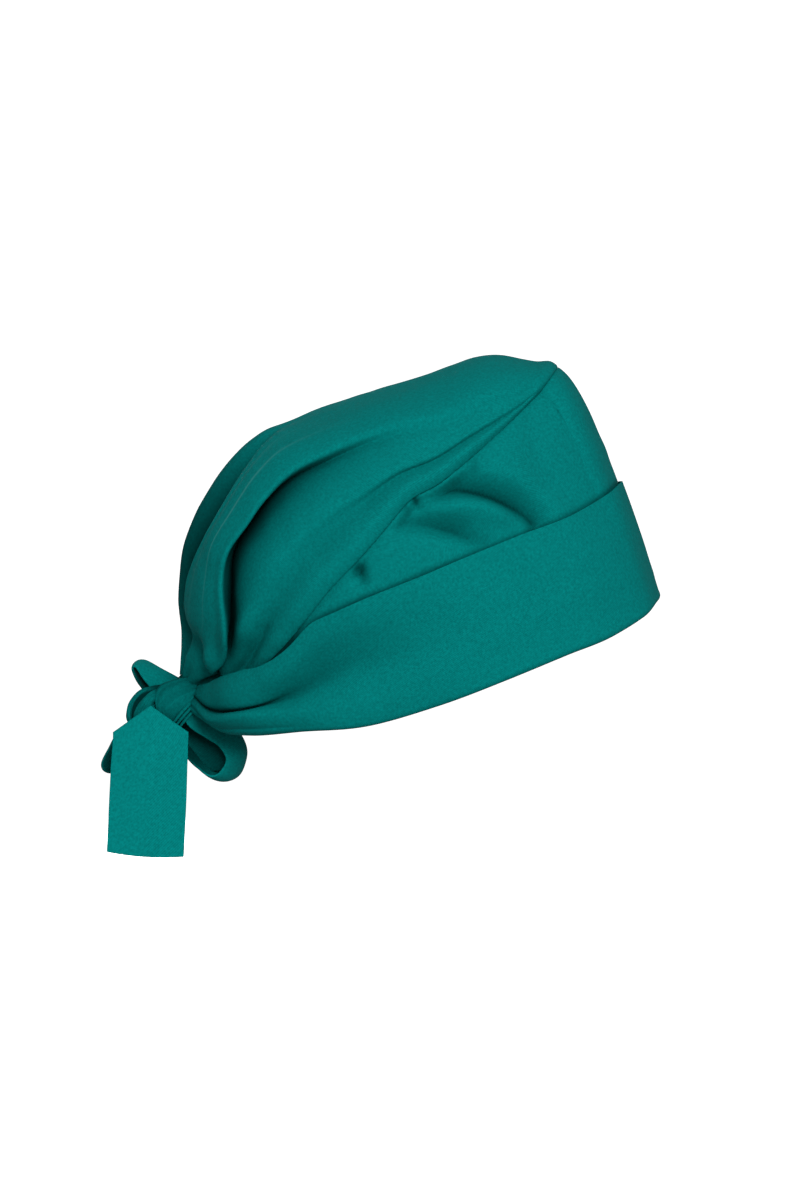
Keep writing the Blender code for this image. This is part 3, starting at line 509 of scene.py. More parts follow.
def wall_surface(share, height, dents=()):
    """The cloth below the seam, by the seam's share and the height above the rim in metres."""
    foot = rim_point(share)
    head = seam_point(share)
    length = np.linalg.norm(head - foot, axis=-1)
    rise = height / length
    inside = np.clip(rise, 0, 1)
    swell = (1 - (1 - inside) ** BULGE_START) * (1 - inside**BULGE_END)
    points = foot + (head - foot) * rise[..., None]
    spread = (height / cuff_width(share) - hollow_place(share)) / HOLLOW_SPREAD
    sink = hollow_depth(share) * FOLD_DEPTH * np.exp(-(spread**2))
    points = points + outward(points) * (WALL_BULGE * length * swell + sink)[..., None]
    if dents:
        depth = dent_depth(points, dents) * eased((length - height) / SEAM_FADE)
        sunk = np.minimum(depth, 0) * eased((height - SUNK_FROM * CUFF_WIDTH) / DENT_FADE)
        raised = np.maximum(depth, 0) * eased((height - RAISED_FROM * CUFF_WIDTH) / DENT_FADE)
        points = points + outward(points) * (sunk + raised)[..., None]
    return points


def wall_normal(share, height):
    """The outward normal of the wall."""
    step_share, step_height = 0.004, 0.001
    ahead = np.clip(share + step_share, -1, 1)
    behind = np.clip(share - step_share, -1, 1)
    along = wall_surface(ahead, height) - wall_surface(behind, height)
    up = wall_surface(share, height + step_height) - wall_surface(share, height - step_height)
    return unit(np.cross(along, up))


# What gives the directions at the seam: a step along it, a step of the crown's run behind
# its front arch, and a place across the crown beside its two sides
SEAM_STEP = 0.006
CROWN_STEP = 0.03
BESIDE_SEAM = 0.94


def seam_frame(share):
    """At the seam: the inward direction, and the direction across the seam towards the crown."""
    steps = (SEAM_STEP, -SEAM_STEP)
    ahead, behind = (seam_point(np.clip(share + step, -1, 1)) for step in steps)
    along = unit(ahead - behind)
    here = seam_point(share)
    wall_out = unit(np.cross(along, here - rim_point(share)))
    at = np.abs(share)
    on_arch = at < ARCH_END
    run = np.interp(at, SEAM_SHARES[ARCH_POINTS - 1:], SIDE_RUNS)
    across = np.where(on_arch, at / ARCH_END, BESIDE_SEAM) * np.sign(share)
    crown_way = unit(crown_base(run + np.where(on_arch, CROWN_STEP, 0.0), across) - here)
    inward = -unit(wall_out + unit(np.cross(along, crown_way)))
    return inward, unit(np.cross(along, inward))


# Cloth counts as a fold's hollow, and gets painted shade, where it lies this far below its
# smoothed shape: the smoothing's spread, where the hollow starts, and how much deeper it is full
HOLLOW_SCALE = 0.0045
HOLLOW_START = 0.0003
HOLLOW_FULL = 0.0040
SMOOTHING_LIMIT = 160
# The cloth's edges are rounded by this share of its wall
EDGE_ROUND = 0.42


def finer(lines, count):
    """Columns over a table of lines, with count of them to each line."""
    last = len(lines) - 1
    return np.linspace(0, last, last * count + 1)


def seam_pucker(share_length):
    """The small puckers of a sewn edge, by the way along it in metres."""
    way = share_length / PUCKER_PITCH * 2 * math.pi
    return PUCKER_DEPTH * sum(
        height * np.sin(way * rate + shift) for height, rate, shift in PUCKER_WAVES
    )


def smoothed(points, spread):
    """Rows of points, each drawn towards its neighbours within a spread in metres."""
    for _ in range(2):
        step = np.linalg.norm(np.diff(points, axis=0), axis=-1).mean()
        for _ in range(int(min(max(2 * (spread / step) ** 2, 1), SMOOTHING_LIMIT))):
            wide = np.concatenate([points[:1], points, points[-1:]])
            points = (wide[2:] + wide[:-2] + 2 * points) / 4
        points = points.swapaxes(0, 1)
    return points


def hollow_share(points):
    """How far down in its folds each point of a cloth lies, from 0 to 1, for its painted shade.
    """
    facing = unit(np.cross(np.gradient(points, axis=1), np.gradient(points, axis=0)))
    facing *= np.sign(np.sum(facing * outward(points)))
    below = np.sum((smoothed(points, HOLLOW_SCALE) - points) * facing, axis=-1)
    return np.clip((below - HOLLOW_START) / HOLLOW_FULL, 0, 1)


def ways(points):
    """How far each point of a grid lies across it and along it, in metres."""
    found = []
    for axis in (1, 0):
        steps = np.diff(points, axis=axis, prepend=points.take([0], axis))
        found.append(np.linalg.norm(steps, axis=-1).cumsum(axis=axis))
    return found


def grid_piece(name, points, across, along, hollow=None):
    """A grid moved onto rows of points, with painted shade as its hollow attribute; without that
    it is closed at its seam and ends.
    """
    rows, columns = points.shape[:2]
    mesh = bpy.data.meshes.new(name)
    shape = bmesh.new()
    bmesh.ops.create_grid(shape, x_segments=columns - 1, y_segments=rows - 1, size=1)
    shape.verts.ensure_lookup_table()
    cut = shape.loops.layers.uv.new("cloth")
    if hollow is not None:
        sunk = shape.verts.layers.float.new("hollow")
        for vertex, depth in zip(shape.verts, hollow.reshape(-1)):
            vertex[sunk] = depth
    for vertex, place in zip(shape.verts, points.reshape(-1, 3)):
        vertex.co = place
    spots = np.stack([across, along], axis=-1).reshape(-1, 2)
    for face in shape.faces:
        for corner in face.loops:
            corner[cut].uv = spots[corner.vert.index]
    if hollow is None:
        bmesh.ops.remove_doubles(shape, verts=shape.verts, dist=1e-6)
        bmesh.ops.recalc_face_normals(shape, faces=shape.faces)
    shape.to_mesh(mesh)
    shape.free()
    mesh.shade_smooth()
    piece = bpy.data.objects.new(name, mesh)
    bpy.context.scene.collection.objects.link(piece)
    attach(piece, "root")
    return piece


def cloth_piece(name, points, look, shade_given=0.0, fold_shade_share=1.0):
    """A piece of cloth with a wall and rounded edges, and painted shade from the depth of its
    folds and from the shade given.
    """
    hollow = np.clip(np.maximum(hollow_share(points) * fold_shade_share, shade_given), 0, 1)
    across, along = ways(points)
    across = across - across[:, points.shape[1] // 2, None]
    piece = grid_piece(name, points, across, along, hollow)
    wall = piece.modifiers.new("wall", "SOLIDIFY")
    wall.thickness = look.cloth_wall
    wall.offset = 0
    wall.use_even_offset = False
    edge = piece.modifiers.new("edge", "BEVEL")
    edge.limit_method = "ANGLE"
    edge.angle_limit = math.radians(60)
    edge.width = look.cloth_wall * EDGE_ROUND
    edge.segments = 2
    return piece


def solid_piece(name, points):
    """A closed body, from a grid of rings."""
    across, along = ways(points)
    along = np.broadcast_to(along[:, points.shape[1] // 2, None], across.shape)
    return grid_piece(name, points, across, along)


class Wire:
    """A value in a node tree, whose maths is written as an expression."""

    def __init__(self, nodes, socket):
        self.nodes = nodes
        self.socket = socket

    def maths(self, operation, first, second=None):
        values = {0: first} if second is None else {0: first, 1: second}
        return self.nodes.node("ShaderNodeMath", {"operation": operation}, values)["Value"]

    def __add__(self, other):
        return self.maths("ADD", self, other)

    def __radd__(self, other):
        return self.maths("ADD", other, self)

    def __sub__(self, other):
        return self.maths("SUBTRACT", self, other)

    def __rsub__(self, other):
        return self.maths("SUBTRACT", other, self)

    def __mul__(self, other):
        return self.maths("MULTIPLY", self, other)

    def __rmul__(self, other):
        return self.maths("MULTIPLY", other, self)

    def __truediv__(self, other):
        return self.maths("DIVIDE", self, other)

    def sine(self):
        return self.maths("SINE", self)

    def bell(self):
        """1 where the value is 0, and falling off on both sides of it."""
        return self.maths("EXPONENT", self.maths("MULTIPLY", self * self, -1.0))

    def limited(self):
        """The value kept between 0 and 1."""
        return self.maths("MINIMUM", self.maths("MAXIMUM", self, 0.0), 1.0)


class Nodes:
    """A node tree under construction."""

    def __init__(self, tree):
        self.tree = tree

    def plug(self, socket, value):
        """Sets a socket to a value, or links it to a wire."""
        if isinstance(value, Wire):
            self.tree.links.new(value.socket, socket)
        else:
            socket.default_value = value

    def node(self, kind, settings=None, values=None):
        """Adds a node, and gives back its outputs by name."""
        made = self.tree.nodes.new(kind)
        for name, value in (settings or {}).items():
            setattr(made, name, value)
        for name, value in (values or {}).items():
            self.plug(made.inputs[name], value)
        return {out.name: Wire(self, out) for out in made.outputs if out.enabled}

    def noise(self, place, scale, detail, roughness):
        """Uneven spots, from 0 to 1."""
        values = {"Vector": place, "Scale": scale, "Detail": detail, "Roughness": roughness}
        return self.node("ShaderNodeTexNoise", values=values)["Fac"]

    def mixed(self, low, high, factor):
        """A colour between two others."""
        kind = {"data_type": "RGBA", "blend_type": "MIX"}
        return self.node("ShaderNodeMix", kind, {0: factor, 6: low, 7: high})["Result"]


class Finish(Nodes):
    """A material under construction."""

    def __init__(self, name):
        self.material = bpy.data.materials.new(name)
        self.material.use_nodes = True
        super().__init__(self.material.node_tree)
        self.shader = self.tree.nodes["Principled BSDF"]

    def plugs(self, values):
        """Sets or links the shader's inputs."""
        for name, value in values.items():
            self.plug(self.shader.inputs[name], value)


def shade(colour, factor):
    """A colour made darker or lighter."""
    return (colour[0] * factor, colour[1] * factor, colour[2] * factor, 1.0)


# How dark the painted shade deep in a fold is, and how high the weave's relief stands
HOLLOW_SHADE_TONE = 0.06
RELIEF_HEIGHT = 0.00012


def twill(name, look, turn=0.0, creases=(), level=1.0):
    """Dyed twill: fine diagonal lines, uneven yarn, and pale lines at old creases, with painted
    shade deep in the folds, and level drawing all of it lighter or darker as painted light and
    shade.
    """
    finish = Finish(name)
    cloth = finish.node("ShaderNodeUVMap", {"uv_map": "cloth"})["UV"]
    turned = {"Vector": cloth, "Rotation": (0.0, 0.0, turn)}
    place = finish.node("ShaderNodeMapping", values=turned)["Vector"]
    parts = finish.node("ShaderNodeSeparateXYZ", values={"Vector": place})
    across, along = parts["X"], parts["Y"]
    solid = finish.node("ShaderNodeTexCoord")["Object"]
    wave = 2 * math.pi / look.twill_pitch
    slubs = finish.noise(place, 900.0, 2.0, 0.6)
    patches = finish.noise(solid, 28.0, 3.0, 0.5)
    grain = finish.noise(solid, 760.0, 1.0, 0.5)
    diagonal = ((across + along * 0.8) * wave + slubs * 1.6).sine() * 0.5 + 0.5
    yarns = (along * (wave * 1.9)).sine() * 0.5 + 0.5
    weave = diagonal * 0.7 + yarns * 0.3
    tone = (weave * 0.60 + slubs * 1.10 + patches * 0.20 + grain * 1.10 - 1.00).limited()
    # level above 1 is painted light, and below 1 painted shade
    low, high = level * (1 - look.weave_contrast), level * (1 + look.weave_contrast)
    colour = finish.mixed(shade(look.dye, low), shade(look.dye, high), tone)
    if creases:
        folds = finish.node("ShaderNodeUVMap", {"uv_map": "folds"})["UV"]
        split = finish.node("ShaderNodeSeparateXYZ", values={"Vector": folds})
        line, run = split["X"], split["Y"]
        marks = []
        for start, lean, width, first, last, strength in creases:
            off_line = (line - (start + run * lean) + (slubs - 0.5) * width * 0.5) / width
            middle, half = (first + last) / 2, (last - first) / 2
            marks.append(off_line.bell() * ((run - middle) / half).bell() * strength)
        crease_marks = sum(marks[1:], marks[0]).limited()
        colour = finish.mixed(colour, tuple(look.crease_colour) + (1.0,), crease_marks)
    # Painted shade: darker where the hollow attribute says the cloth lies deep in a fold
    hollow = finish.node("ShaderNodeAttribute", {"attribute_name": "hollow"})["Fac"]
    deep = (hollow * look.hollow_shade).limited()
    colour = finish.mixed(colour, shade(look.dye, HOLLOW_SHADE_TONE), deep)
    relief = weave * 0.6 + slubs * 0.4 + grain * 0.3
    pressed = {"Strength": look.weave_relief, "Distance": RELIEF_HEIGHT, "Height": relief}
    finish.plugs({
        "Base Color": colour,
        "Roughness": (look.roughness - 0.04) + weave * 0.05 + patches * 0.05,
        "Normal": finish.node("ShaderNodeBump", values=pressed)["Normal"],
        "Specular IOR Level": look.gloss,
        "Specular Tint": tuple(look.sheen_dye) + (1.0,),
        "Sheen Weight": look.sheen,
        "Sheen Roughness": 0.45,
        "Sheen Tint": tuple(look.sheen_dye) + (1.0,),
    })
    return finish.material


class ScrubCapLook(bpy.types.PropertyGroup):
    """Sizes and colours of the cloth."""

    cloth_wall: bpy.props.FloatProperty(
        name="Cloth wall", description="Thickness of a layer of cloth", default=0.0010,
        unit="LENGTH", precision=4,
    )
    twill_pitch: bpy.props.FloatProperty(
        name="Twill pitch", description="Distance between the lines of the twill", default=0.0009,
        unit="LENGTH", precision=4,
    )
    dye: bpy.props.FloatVectorProperty(
        name="Dye", description="Colour of the cloth", subtype="COLOR",
        default=(0.0012, 0.207, 0.197),
    )
    # A paler colour drawn along the crown's creases
    crease_colour: bpy.props.FloatVectorProperty(
        name="Crease dye", description="Colour along old creases", subtype="COLOR",
        default=(0.050, 0.290, 0.275),
    )
    sheen_dye: bpy.props.FloatVectorProperty(
        name="Sheen", description="Colour of the cloth's sheen", subtype="COLOR",
        default=(0.02, 0.75, 0.72),
    )
    weave_contrast: bpy.props.FloatProperty(
        name="Weave contrast", description="How far the yarns differ in colour", default=0.24,
        min=0.0, max=1.0,
    )
    weave_relief: bpy.props.FloatProperty(
        name="Weave relief", description="Strength of the weave's relief", default=0.65,
        min=0.0, max=1.0,
    )
    # How strong the painted shade deep in the folds is
    hollow_shade: bpy.props.FloatProperty(
        name="Hollow shade", description="How dark the dye looks deep in the folds", default=0.9,
        min=0.0, max=1.0,
    )
    roughness: bpy.props.FloatProperty(
        name="Roughness", description="Roughness of the cloth", default=0.62, min=0.0, max=1.0
    )
    gloss: bpy.props.FloatProperty(
        name="Gloss", description="Strength of the cloth's gloss", default=0.06, min=0.0, max=1.0
    )
    sheen: bpy.props.FloatProperty(
        name="Sheen weight", description="Strength of the cloth's sheen", default=0.01,
        min=0.0, max=1.0,
    )


class ScrubCapStage(bpy.types.PropertyGroup):
    """Sizes and brightness of the studio."""

    floor_height: bpy.props.FloatProperty(
        name="Floor height", description="Height of the floor", default=-0.42, unit="LENGTH"
    )
    floor_radius: bpy.props.FloatProperty(
        name="Floor radius", description="Radius of the round floor", default=3.6, unit="LENGTH"
    )
    key_power: bpy.props.FloatProperty(
        name="Key light", description="Power of the key light in watts", default=60.0
    )
    fill_power: bpy.props.FloatProperty(
        name="Fill light", description="Power of the fill light in watts", default=3.5
    )
    back_power: bpy.props.FloatProperty(
        name="Back light", description="Power of the back light in watts", default=40.0
    )
    sky: bpy.props.FloatProperty(
        name="Sky", description="Brightness of the surroundings", default=0.26
    )


def fold_marks(piece, run, column):
    """A second map on a piece: how far across its folds and along them each corner lies."""
    mesh = piece.data
    layer = mesh.uv_layers.new(name="folds")
    corners = np.empty(len(mesh.loops), dtype=np.int32)
    mesh.loops.foreach_get("vertex_index", corners)
    places = np.stack([column.reshape(-1)[corners], run.reshape(-1)[corners]], axis=-1)
    layer.data.foreach_set("uv", places.astype(np.float32).reshape(-1))


def dressed(piece, material, slot, *nodes):
    """Gives a piece its material, and lets it stand for its solids."""
    piece.data.materials.append(material)
    if nodes:
        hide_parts(*nodes)


def arch_shares(columns):
    """Shares of the seam at columns of the crown's front edge, from the middle to a corner."""
    place = on_lines(CROWN_PLEATS, PLEAT_RUNS, np.zeros(len(columns)), columns)[0]
    return np.interp(place, np.linspace(0, 1, ARCH_POINTS), SEAM_SHARES[:ARCH_POINTS])


def side_shares(faces):
    """Shares of the seam at the rows of the crown, from a corner to the knot."""
    runs = np.linspace(0, 1, faces + 1)
    return runs, np.interp(runs, SIDE_RUNS, SEAM_SHARES[ARCH_POINTS - 1:])


CROWN_RUNS = 150
CROWN_FINENESS = 9
# The crown's painted shade from the depth of its folds counts by this share, because the
# painted shade of its lines darkens them too
CROWN_FOLD_SHADE = 0.55
ARCH_FINENESS = 6
PANEL_ROWS = 88
# The panel's rows lie closer together towards the seam by this power
PANEL_CROWDING = 1.3
# Its ripples fade out over this share of its height below the seam, and its puckers are
# this much deeper than the crown's
RIPPLE_FADE = 0.05
PANEL_PUCKER = 1.5
# Painted shade: it is drawn dim where it goes under the cuff's edge, and where it runs out
# towards the knot
CUFF_SHADOW = 0.75
CUFF_SHADOW_REACH = 0.0018
PANEL_DIM_FROM = 0.665
PANEL_DIM_TO = 0.735
# Spots of painted shade at the small puckers of the seam: their place as shares of length
# and height, their reach, and how dark they are
ShadeSpot = namedtuple("ShadeSpot", "x z reach depth")
PANEL_SHADE_SPOTS = (
    ShadeSpot(-0.045, 0.546, 0.0020, 0.95), ShadeSpot(-0.060, 0.512, 0.0024, 0.35),
    ShadeSpot(-0.160, 0.335, 0.0030, 0.55), ShadeSpot(0.075, 0.650, 0.0022, 0.35),
    ShadeSpot(0.150, 0.800, 0.0020, 0.25),
)
CUFF_RUNS_ROUND = 300
CUFF_FINENESS = 9
# The cuff's ripples grow over this part of its first line, have this share of the crown's
# height, and dip no deeper than this
CUFF_CALM = 0.6
CUFF_RIPPLE = 0.8
CUFF_DIP = -0.0002
FOLD_STEPS = 8
# Where the crown was creased in storage: line, lean along the run, width, from and to
# along the run, and strength
CROWN_CREASES = (
    (3.90, 0.55, 0.050, 0.52, 0.82, 0.85),
    (5.60, -0.30, 0.040, 0.55, 0.84, 0.75),
    (4.60, 0.10, 0.080, 0.58, 0.76, 0.35),
)
# The crown's cloth rolls over its seam: by this much, within the first width, and back
# to the fold's own depth over the second
SEAM_PLUMP = 0.0008
PLUMP_RISE = 0.0012
PLUMP_FALL = 0.006
PUCKER_PITCH = 0.0052
PUCKER_DEPTH = 0.00016
PUCKER_REACH = 0.0035
# The waves that make up the puckers: height, rate and shift
PUCKER_WAVES = ((0.6, 1, 0), (0.4, 0.617, 1.3), (0.3, 1.83, 0))


def plumped(points, rows_to_seam, seam_way):
    """Cloth that rolls over at its seam, with the puckers of the stitches."""
    rolled = 1 - np.exp(-rows_to_seam / PLUMP_RISE)
    plump = SEAM_PLUMP * rolled * np.exp(-rows_to_seam / PLUMP_FALL)
    pucker = seam_pucker(seam_way) * np.exp(-rows_to_seam / PUCKER_REACH)
    return points + outward(points) * (plump + pucker)[..., None]


class SCRUBCAP_OT_crown(bpy.types.Operator):
    """Models the gathered crown panel"""

    bl_idname = "scrub_cap.crown"
    bl_label = "Crown panel"

    def execute(self, context):
        look = context.scene.scrub_cap_look
        runs, side = side_shares(CROWN_RUNS)
        half = finer(CROWN_PLEATS, CROWN_FINENESS)
        columns = np.concatenate([-half[:0:-1], half])
        arch = arch_shares(half)
        arch = np.concatenate([-arch[:0:-1], arch])
        run, column = np.meshgrid(runs, columns, indexing="ij")
        surface, tucks = crown_surface(run, column)
        to_side = np.minimum(
            np.linalg.norm(surface - surface[:, :1], axis=-1),
            np.linalg.norm(surface - surface[:, -1:], axis=-1),
        )
        to_front = np.linalg.norm(surface - surface[:1], axis=-1)
        length = len(SEAM_POINTS) * np.linalg.norm(np.diff(SEAM_POINTS, axis=0), axis=1).mean()
        way = np.where(to_side < to_front, side[:, None], np.abs(arch)[None]) * length
        surface = plumped(surface, np.minimum(to_side, to_front), way)
        set_off = (look.cloth_wall + SEAM_GAP) / 2
        edges = {}
        for end, sign in ((0, -1), (-1, 1)):
            inward, over = seam_frame(sign * side)
            surface[:, end] += over * set_off
            edges[end] = surface[:, end] + inward * SEAM_TURN
        inward, over = seam_frame(arch)
        surface[0, 1:-1] += over[1:-1] * set_off
        front = surface[0] + inward * SEAM_TURN
        body = np.concatenate([edges[0][:, None], surface, edges[-1][:, None]], axis=1)
        front_row = np.pad(front, ((1, 1), (0, 0)), mode="edge")
        body[0, 0], body[0, -1] = front[0], front[-1]
        points = np.concatenate([front_row[None], body])
        turned_in = ((1, 0), (1, 1))
        run, column, tucks = (
            np.pad(values, turned_in, mode="edge") for values in (run, np.abs(column), tucks)
        )
        # Painted shade: that of the lines, and that of the depth of the folds at a share
        piece = cloth_piece("crown_cloth", points, look, tucks, CROWN_FOLD_SHADE)
        fold_marks(piece, run, column)
        cloth = twill("crown_twill", look, 0.2, CROWN_CREASES)
        dressed(piece, cloth, "crown_cloth", "crown_panel")
        return {"FINISHED"}


class SCRUBCAP_OT_side_panel(bpy.types.Operator):
    """Models the panel round the forehead, between the rim and the seam"""

    bl_idname = "scrub_cap.side_panel"
    bl_label = "Side panel"

    def execute(self, context):
        look = context.scene.scrub_cap_look
        _, side = side_shares(CROWN_RUNS)
        arch = arch_shares(finer(CROWN_PLEATS, ARCH_FINENESS))
        half = np.concatenate([arch[1:], side[1:][side[1:] <= PANEL_END]])
        shares = np.concatenate([-half[::-1], [0.0], half])
        length = np.linalg.norm(seam_point(shares) - rim_point(shares), axis=-1)
        inward, over = seam_frame(shares)
        total = np.linalg.norm(np.diff(SEAM_POINTS, axis=0), axis=1).sum()
        at = np.abs(shares)
        edge = cuff_width(shares) * np.interp(at, CUFF_RUNS, CUFF_LINES[-1].places)
        end = eased((at - PANEL_DIM_FROM) / (PANEL_DIM_TO - PANEL_DIM_FROM))
        rows = []
        tucks = []
        for share in 1 - np.linspace(1, 0, PANEL_ROWS + 1) ** PANEL_CROWDING:
            height = PANEL_FOOT + (length - PANEL_FOOT) * share
            # Painted shade: under the cuff's edge, towards the knot and at the puckers of the
            # seam
            under = CUFF_SHADOW * np.exp(-((height - edge) / CUFF_SHADOW_REACH) ** 2)
            deep = np.maximum(under, end)
            x, _, z = wall_surface(shares, height).T
            for shade_spot in PANEL_SHADE_SPOTS:
                away = np.hypot(x - shade_spot.x * CAP_LENGTH, z - shade_spot.z * CROWN_HEIGHT)
                deep = np.maximum(deep, shade_spot.depth * np.exp(-((away / shade_spot.reach) ** 2)))
            tucks.append(deep)
            points = wall_surface(shares, height, PANEL_DENTS)
            ripple = ripple_depth(points) * eased((height - CUFF_WIDTH) / DENT_FADE)
            ripple *= eased((1 - share) / RIPPLE_FADE)
            pucker = seam_pucker(at * total) * np.exp(-(length - height) / PUCKER_REACH)
            lift = ripple - np.abs(pucker) * PANEL_PUCKER
            rows.append(points + outward(points) * lift[..., None])
        rows[-1] = rows[-1] - over * (look.cloth_wall + SEAM_GAP) / 2
        rows.append(rows[-1] + inward * SEAM_TURN)
        tucks.append(tucks[-1])
        piece = cloth_piece("side_cloth", np.stack(rows), look, np.stack(tucks))
        dressed(piece, twill("side_twill", look, 0.1), "side_cloth", "side_panel")
        return {"FINISHED"}


class SCRUBCAP_OT_cuff(bpy.types.Operator):
    """Models the turned-up cuff: its leg inside the rim, the fold, and its leg outside"""

    bl_idname = "scrub_cap.cuff"
    bl_label = "Cuff"

    def execute(self, context):
        look = context.scene.scrub_cap_look
        shares = np.linspace(-1, 1, CUFF_RUNS_ROUND + 1)
        at = np.abs(shares)
        width = cuff_width(shares)
        off = WALL_CLOTH + LAYER_GAP
        rim = np.zeros_like(shares)
        swell = on_lines(CUFF_LINES, CUFF_RUNS, at, rim)[1] * FOLD_DEPTH

        def set_off(height, distance):
            return wall_surface(shares, height) + wall_normal(shares, height) * distance[:, None]

        hem = CUFF_HEM * width / CUFF_WIDTH
        rows = [set_off(hem * share, rim - off) for share in (1.0, 0.75, 0.5, 0.25, 0.0)]
        middle = (set_off(rim, off + swell) + rows[-1]) / 2
        reach = (off * 2 + swell) / 2
        normal = wall_normal(shares, rim)
        up = unit(wall_surface(shares, rim + RIM_STEP) - wall_surface(shares, rim))
        for angle in np.linspace(0, math.pi, FOLD_STEPS + 1)[1:-1]:
            outer = middle - normal * math.cos(angle) * reach[:, None]
            rows.append(outer - up * math.sin(angle) * off)
        lift = CUFF_LIFT * eased((at - LIFT_START) / (LIFT_END - LIFT_START))
        # Painted shade: none on the inner leg and the fold, and that of the lines on the outer
        # leg
        tucks = [rim] * len(rows)
        for column in finer(CUFF_LINES, CUFF_FINENESS):
            place, depth, painted_shade = on_lines(CUFF_LINES, CUFF_RUNS, at, rim + column)
            tucks.append(painted_shade)
            points = set_off(width * place, off + depth * FOLD_DEPTH + lift * place)
            ripple = ripple_depth(points) * eased(column / CUFF_CALM) * CUFF_RIPPLE
            rows.append(points + outward(points) * np.maximum(ripple, CUFF_DIP)[..., None])
        piece = cloth_piece("cuff_cloth", np.stack(rows), look, np.stack(tucks))
        dressed(piece, twill("cuff_twill", look), "cuff_cloth", "cuff")
        return {"FINISHED"}


def loop_points(table):
    """A loop of the tie, from its near edge across to its far edge."""
    found = evenly(table, LOOP_RUNS + 1)
    near = KNOT_CENTRE + found[:, :3] * LOOP_LENGTH
    heading, rise, width, swell = found[:, 3:].T
    heading, rise = np.radians(heading), np.radians(rise)
    across = np.stack(
        [np.cos(rise) * np.cos(heading), np.cos(rise) * np.sin(heading), np.sin(rise)], axis=-1
    )
    share = np.linspace(0, 1, LOOP_COLUMNS + 1)[:, None, None]
    width = (width * TIE_WIDTH)[:, None]
    away = np.cross(unit(np.gradient(near, axis=0)), across)
    away = unit(away) * np.sign(np.sum(away * (near - near.mean(axis=0)), axis=-1))[:, None]
    return near + across * width * share + away * 4 * share * (1 - share) * swell[:, None] * width


# Bands drawn round the knot: along, up and out of one edge, then of the other, as shares of
# the knot's half length, height and depth from its centre, and how far the middle swells out
OVER_STRAP = (
    (-0.95, 0.10, -0.45, -0.92, -0.45, -0.35, 0.14),
    (-0.55, 0.45, -0.92, -0.50, -0.45, -0.92, 0.22),
    (0.10, 0.55, -0.98, 0.10, -0.50, -0.98, 0.24),
    (0.75, 0.45, -0.78, 0.70, -0.40, -0.78, 0.20),
    (1.12, 0.22, -0.30, 1.08, -0.25, -0.30, 0.10),
    (1.22, 0.24, 0.14, 1.17, -0.20, 0.18, 0.10),
    (1.16, 0.40, 0.42, 1.04, -0.36, 0.58, 0.16),
    (0.98, 0.60, 0.60, 0.76, -0.46, 0.86, 0.22),
    (0.58, 0.86, 0.72, 0.36, -0.56, 0.96, 0.26),
    (0.16, 0.98, 0.80, 0.08, -0.70, 0.94, 0.26),
    (-0.08, 0.78, 0.96, -0.06, -0.84, 0.80, 0.20),
    (-0.20, 0.42, 1.06, -0.14, -0.96, 0.50, 0.16),
    (-0.26, 0.02, 1.06, -0.20, -1.02, 0.10, 0.10),
)
STRAP_TONGUE = (
    (0.15, 0.75, 0.80, 0.10, 0.35, 0.98, 0.05),
    (-0.08, 0.90, 0.78, -0.08, 0.52, 1.00, 0.08),
    (-0.27, 0.87, 0.80, -0.24, 0.50, 1.04, 0.12),
    (-0.46, 0.79, 0.78, -0.42, 0.25, 1.04, 0.14),
    (-0.66, 0.65, 0.66, -0.60, 0.05, 0.95, 0.14),
    (-0.80, 0.47, 0.55, -0.75, -0.15, 0.80, 0.12),
    (-0.90, 0.26, 0.45, -0.86, -0.35, 0.55, 0.06),
)
STRAP_BEHIND = (
    (0.10, 0.95, 0.20, 0.10, 0.78, 0.58, 0.02),
    (-0.20, 1.10, 0.12, -0.18, 0.88, 0.55, 0.06),
    (-0.48, 1.16, 0.06, -0.42, 0.86, 0.52, 0.10),
    (-0.77, 1.01, 0.05, -0.62, 0.70, 0.50, 0.12),
    (-0.98, 0.68, 0.04, -0.74, 0.44, 0.50, 0.14),
    (-1.07, 0.36, 0.02, -0.82, 0.16, 0.48, 0.14),
    (-1.06, 0.00, -0.05, -0.86, -0.10, 0.40, 0.12),
    (-0.98, -0.30, -0.20, -0.84, -0.38, 0.20, 0.04),
)
KNOT_AXES = np.array([
    [math.cos(KNOT_TILT), 0.0, math.sin(KNOT_TILT)],
    [-math.sin(KNOT_TILT), 0.0, math.cos(KNOT_TILT)],
    [0.0, -1.0, 0.0],
])
KNOT_HALVES = np.array([KNOT_LENGTH, KNOT_HEIGHT, KNOT_DEPTH]) / 2
BAND_RUNS = 120
BAND_COLUMNS = 26
# Painted shade on a band: how dark it is along its edges, and over which shares of its run
# its ends and of its half width its inner edge grow dark
BAND_EDGE_SHADE = 0.60
BAND_END = 0.30
BAND_INNER = 0.7
# Creases along a band: height, and how fast they come across it and along it
BAND_CREASES = ((0.035, 13, 5), (0.020, 31, -9))


def band_shade(ends, inner=0.0):
    """Painted shade on a band: along its edges, at its two ends, and towards its inner edge."""
    share = np.linspace(-1, 1, BAND_COLUMNS + 1)[None]
    run = np.linspace(0, 1, BAND_RUNS + 1)[:, None]
    sides = np.maximum(BAND_EDGE_SHADE * share**6, inner * eased(share / BAND_INNER))
    first = ends[0] * eased(1 - run / BAND_END)
    last = ends[1] * eased(1 - (1 - run) / BAND_END)
    return np.maximum(sides, np.maximum(first, last)).T


